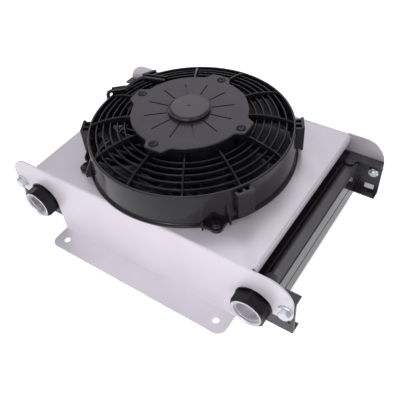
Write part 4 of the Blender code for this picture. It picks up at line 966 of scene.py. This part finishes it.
def lead_route():
    """Points of the lead: cover edge, clip, rim trough, down the ring wall to the connector."""
    inner, outer = clip_ends()
    start, end = trough_ends()
    level, over = CLIP_BOTTOM + CLIP_LEVEL, TROUGH_FLOOR + LEAD_ROOM
    r, a = OUTSIDE_RADIUS, OUTSIDE_ANGLE
    route = [(*inner.lerp(outer, share), level) for share in (0.1, 0.55, 1.05)]
    route.append((*on_circle(113.5, 166.3), level - 4.0))
    for share, rise in ((-0.1, 1.0), (0.4, 0.1), (0.95, 0.0)):
        route.append((*start.lerp(end, share), over + rise))
    route += [(*on_circle(r, a - 0.9), over - 2.0), (*on_circle(r + 0.8, a - 0.2), over - 7.0)]
    route += [(*on_circle(r, a), over - 14.0), (*on_circle(r, a), high("lead_connector").z + GAP)]
    return route


def smooth_route(points, steps):
    """A Catmull-Rom curve through the points."""
    padded = [points[0], *points, points[-1]]
    result = []
    for p0, p1, p2, p3 in zip(padded, padded[1:], padded[2:], padded[3:]):
        for i in range(steps):
            t = i / steps
            first, last = -t + 2 * t * t - t ** 3, t ** 3 - t * t
            weights = (first, 2 - 5 * t * t + 3 * t ** 3, t + 4 * t * t - 3 * t ** 3, last)
            near = list(zip(weights, (p0, p1, p2, p3)))
            result.append([sum(w * p[c] for w, p in near) / 2 for c in range(3)])
    result.append(points[-1])
    return result


def tube(route, radius, sides=14):
    """A round tube along a route of points; radius gives it for each point's number."""
    sections = []
    previous = Vector((0, 0, 1))
    for i, point in enumerate(route):
        ahead = Vector(route[min(i + 1, len(route) - 1)]) - Vector(route[max(i - 1, 0)])
        ahead.normalize()
        side = ahead.cross(previous).normalized()
        previous = side.cross(ahead)
        angles = [2 * pi * k / sides for k in range(sides)]
        ring = [Vector(point) + (side * cos(a) + previous * sin(a)) * radius(i) for a in angles]
        sections.append([tuple(p) for p in ring])
    return loft(sections)


def make_lead():
    path = smooth_route(lead_route(), 14)
    sleeve = tube(path, lambda i: LEAD_RADIUS - (RIB_DEPTH if i % 3 == 2 else 0.0))
    make("motor_lead_sleeve", "motor_lead", LEAD_BLACK, [sleeve], (), 60)


def make_lead_clip():
    inner, outer = clip_ends()
    bed = CLIP_BOTTOM + CLIP_LEVEL - LEAD_ROOM
    steps = [("BEVEL", 1.2, 3, 30), cut(bar(inner, outer, LEAD_ROOM, 5, bed, CLIP_BOTTOM + 20))]
    block = bar(inner, outer, CLIP_HALF_WIDTH, 0, CLIP_BOTTOM, CLIP_BOTTOM + CLIP_HEIGHT)
    make("lead_clip_block", "lead_clip", FAN_BLACK, [block], steps)


def make_lead_connector():
    bottom, top = low("lead_connector").z, high("lead_connector").z
    body = prism(rounded_rectangle((136.7, -7.9), (143.1, 7.9), 1.5), bottom, top)
    grips = [box((142.4, y - 0.5, bottom + 3), (144.5, y + 0.5, top - 7)) for y in (-4, -2, 0, 2, 4)]
    steps = [("BEVEL", 0.5, 2, 40), cut(*[about_z(s, OUTSIDE_ANGLE) for s in grips])]
    make("lead_connector_body", "lead_connector", FAN_BLACK,
            [about_z(body, OUTSIDE_ANGLE)], steps)


# ---- impeller and motor

BLADE_COUNT, BLADE_ROOT, BLADE_TIP = 10, 61.5, 127.0
BLADE_STATIONS, CHORD_STEPS = 13, 10
BLADE_LOW, BLADE_HIGH = PLATE_TOP + 5.0, PLATE_TOP + 33.0
ROOT_PITCH, PITCH_DROP, ROOT_CHORD, CHORD_GAIN, TIP_SWEEP = 38, 16, 30, 20, -16
CAMBER, BLADE_HALF, BLADE_EDGE = 2.0, 1.1, 0.12
HUB_RADIUS, HUB_BORE, HUB_WALL, SLEEVE_HEIGHT = 63.0, 4.3, 3.5, 28.0


def blade():
    """A twisted, swept blade with an aerofoil section, from inside the hub wall to the tip."""
    sections = []
    centre = (BLADE_LOW + BLADE_HIGH) / 2
    for i in range(BLADE_STATIONS):
        share = i / (BLADE_STATIONS - 1)
        radius = BLADE_ROOT + (BLADE_TIP - BLADE_ROOT) * share
        pitch = radians(ROOT_PITCH - PITCH_DROP * share)
        half = (ROOT_CHORD + CHORD_GAIN * share) / 2
        sweep = radians(TIP_SWEEP * share ** 1.5)
        rise = min(half * sin(pitch), (BLADE_HIGH - BLADE_LOW) / 2 - 2.2)
        reach_along = rise / tan(pitch)
        upper, under = [], []
        for k in range(CHORD_STEPS + 1):
            t = -1 + 2 * k / CHORD_STEPS
            camber = CAMBER * (1 - t * t)
            thick = BLADE_HALF * sqrt(max(0.0, 1 - t * t)) + BLADE_EDGE
            angle = sweep + t * reach_along / radius
            x, y, z = radius * cos(angle), radius * sin(angle), centre + t * rise + camber
            upper.append((x, y, z + thick))
            under.append((x, y, z - thick))
        sections.append(upper + under[::-1])
    return loft(sections)


def make_impeller():
    lo, hi = low("impeller"), high("impeller")
    r, bore, wall, step = HUB_RADIUS, HUB_BORE, HUB_WALL, 360 / BLADE_COUNT
    floor, sleeve_top = lo.z + 1, hi.z - SLEEVE_HEIGHT
    profile = [(bore, floor), (r - 4, floor)] + arc((r - 4, floor + 4), 4.0, -90, 0, 6)
    profile += [(r, hi.z - 0.6), (r - 0.6, hi.z), (r - wall, hi.z), (r - wall, floor + wall)]
    profile += [(bore + 6, floor + wall), (bore + 6, sleeve_top), (bore, sleeve_top)]
    rib = box((9.5, -1.0, lo.z + 3), (60.5, 1.0, lo.z + 9))
    steps = [add(*[about_z(blade(), step * i) for i in range(BLADE_COUNT)])]
    steps.append(add(*[about_z(rib, step * i + step / 2) for i in range(BLADE_COUNT)]))
    make("impeller_moulding", "impeller", BLADE_BLACK,
            [turned(profile, 96)], steps, 32, body=ROTOR)


def make_label():
    lo, hi = low("blank_label"), high("blank_label")
    film = prism(rounded_rectangle((lo.x, lo.z), (hi.x, hi.z), 0.8), lo.y, hi.y, "Y")
    make("blank_label_film", "blank_label", LABEL_WHITE, [film], [("BEVEL", 0.1, 1, 40)])


def finish_carried_nodes():
    """Hidden motor pieces keep their CAD shape and take a finished material."""
    finishes = {"motor_can": CAN_BLACK, "brush_plate": FAN_BLACK, "brush_1": CARBON, "brush_2": CARBON,
            "armature": COPPER, "commutator": COPPER, "motor_shaft": STEEL,
            "lower_bearing": STEEL, "upper_bearing": STEEL, "impeller_nut": ZINC}
    finishes.update({f"magnet_{i}": FERRITE for i in range(1, 5)})
    for node, material in finishes.items():
        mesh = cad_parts[node].data
        mesh.materials.clear()
        mesh.materials.append(material)


# ---- stage, light, camera

FLOOR_HALF = 6000.0
FLOOR_GLOW, FLOOR_GLOW_SEEN = 0.28, 0.75
TENT_COLOUR, TENT_PATCHES = (0.97, 0.955, 1.0, 1.0), 2.6
TENT_DIM, TENT_BRIGHT = 0.18, 0.80
LAMP_COLOUR = (1.0, 0.975, 1.01)
CORE_MIDDLE, FAN_MIDDLE = (0.0, 0.0, 0.1), (0.0, 0.0, 0.12)
CAMERA_PLACE = (0.33642, -0.43128, 0.57602)
CAMERA_FORWARD, CAMERA_RIGHT = (-0.42639, 0.55113, -0.71725), (0.82993, 0.55371, -0.06791)
CAMERA_LENS, CAMERA_SENSOR = 47.63, 36.0


def make_stage():
    """A plain pale floor that is brighter seen directly than as a light on the object."""
    n = Nodes("studio_floor_white")
    tone = n.blend(n.spread(n.noise(1.5, 2.0), 0.0, 1.0), (0.90, 0.90, 0.905), (0.93, 0.93, 0.93))
    glow = n.add("MapRange")
    glow.inputs["To Min"].default_value = FLOOR_GLOW
    glow.inputs["To Max"].default_value = FLOOR_GLOW_SEEN
    n.join(n.add("LightPath").outputs["Is Camera Ray"], glow.inputs["Value"])
    n.set(Base_Color=tone, Roughness=0.9, Specular_IOR_Level=0.1, Emission_Color=(1.0, 1.0, 1.0))
    n.set(Emission_Strength=glow.outputs["Result"])
    n.bump(n.noise(300.0, 2.0), 0.02)
    slab = box((-FLOOR_HALF, -FLOOR_HALF, -20), (FLOOR_HALF, FLOOR_HALF, -0.05))
    floor = bpy.data.objects.new("studio_floor", mesh_of("studio_floor", [slab]))
    bpy.context.scene.collection.objects.link(floor)
    floor.data.materials.append(n.material)


def make_world():
    """A light tent with soft brighter and darker patches. Seen directly, it is plain white."""
    world = bpy.data.worlds.new("studio")
    bpy.context.scene.world = world
    world.use_nodes = True
    nodes, links = world.node_tree.nodes, world.node_tree.links
    background = nodes["Background"]
    background.inputs["Color"].default_value = TENT_COLOUR
    patches = nodes.new("ShaderNodeTexNoise")
    patches.inputs["Scale"].default_value = TENT_PATCHES
    patches.inputs["Detail"].default_value = 1.0
    links.new(nodes.new("ShaderNodeTexCoord").outputs["Generated"], patches.inputs["Vector"])
    tent = nodes.new("ShaderNodeMapRange")
    inputs = {"From Min": 0.35, "From Max": 0.65, "To Min": TENT_DIM, "To Max": TENT_BRIGHT}
    for key, value in inputs.items():
        tent.inputs[key].default_value = value
    links.new(patches.outputs["Fac"], tent.inputs["Value"])
    strength = nodes.new("ShaderNodeMapRange")
    strength.inputs["To Max"].default_value = 1.0
    links.new(nodes.new("ShaderNodeLightPath").outputs["Is Camera Ray"], strength.inputs["Value"])
    links.new(tent.outputs["Result"], strength.inputs["To Min"])
    links.new(strength.outputs["Result"], background.inputs["Strength"])


def softbox(name, place, target, size, power, spread=180):
    """An area light from one point of the studio towards another: metres, watts and degrees."""
    lamp = bpy.data.lights.new(name, "AREA")
    lamp.shape = "RECTANGLE"
    lamp.size, lamp.size_y = size
    lamp.energy = power
    lamp.spread = radians(spread)
    lamp.color = LAMP_COLOUR
    holder = bpy.data.objects.new(name, lamp)
    bpy.context.scene.collection.objects.link(holder)
    holder.location = place
    holder.rotation_mode = "QUATERNION"
    holder.rotation_quaternion = (Vector(target) - Vector(place)).to_track_quat("-Z", "Y")
    holder.visible_camera = False


def make_lights():
    softbox("key_front", (0.06, -0.72, 0.47), (0.0, -0.05, 0.08), (0.7, 0.4), 0.34)
    softbox("low_front", (0.10, -0.62, 0.42), (0.0, -0.17, 0.0), (0.8, 0.12), 0.17, 40)
    softbox("side_right", (1.37, -0.36, 1.37), CORE_MIDDLE, (0.9, 0.9), 0.6)
    softbox("back_high", (-0.52, 0.90, 1.24), CORE_MIDDLE, (1.0, 1.0), 3.2)
    softbox("edge_strip", (-0.35, -0.95, 0.90), FAN_MIDDLE, (1.2, 0.03), 0.75)
    softbox("glint_front", (0.30, -1.10, 0.22), FAN_MIDDLE, (0.5, 0.03), 0.3)
    softbox("glint_high", (0.10, -0.55, 1.30), FAN_MIDDLE, (0.04, 0.5), 0.8)


def make_camera():
    data = bpy.data.cameras.new("camera")
    data.lens = CAMERA_LENS
    data.sensor_width = CAMERA_SENSOR
    data.clip_start = 0.01
    data.clip_end = 50.0
    camera = bpy.data.objects.new("camera", data)
    bpy.context.scene.collection.objects.link(camera)
    forward = Vector(CAMERA_FORWARD).normalized()
    right = Vector(CAMERA_RIGHT).normalized()
    up = right.cross(forward)
    turn = Matrix((right, up, -forward)).transposed()
    camera.matrix_world = Matrix.Translation(CAMERA_PLACE) @ turn.to_4x4()
    bpy.context.scene.camera = camera


make_camera()
make_world()
make_lights()
make_stage()
make_shroud()
make_channel("front_core_channel", -1, True)
make_channel("back_core_channel", 1, False)
make_tanks()
make_core()
for end_name, end_side in ENDS:
    make_port(f"{end_name}_port_fitting", end_side)
make_ear_fasteners()
make_fan_bolts()
make_housing()
make_motor_cover()
make_bearing_cap()
make_cover_screws()
make_lead()
make_lead_clip()
make_lead_connector()
make_impeller()
make_label()
finish_carried_nodes()
bpy.context.scene.view_settings.view_transform = "Standard"
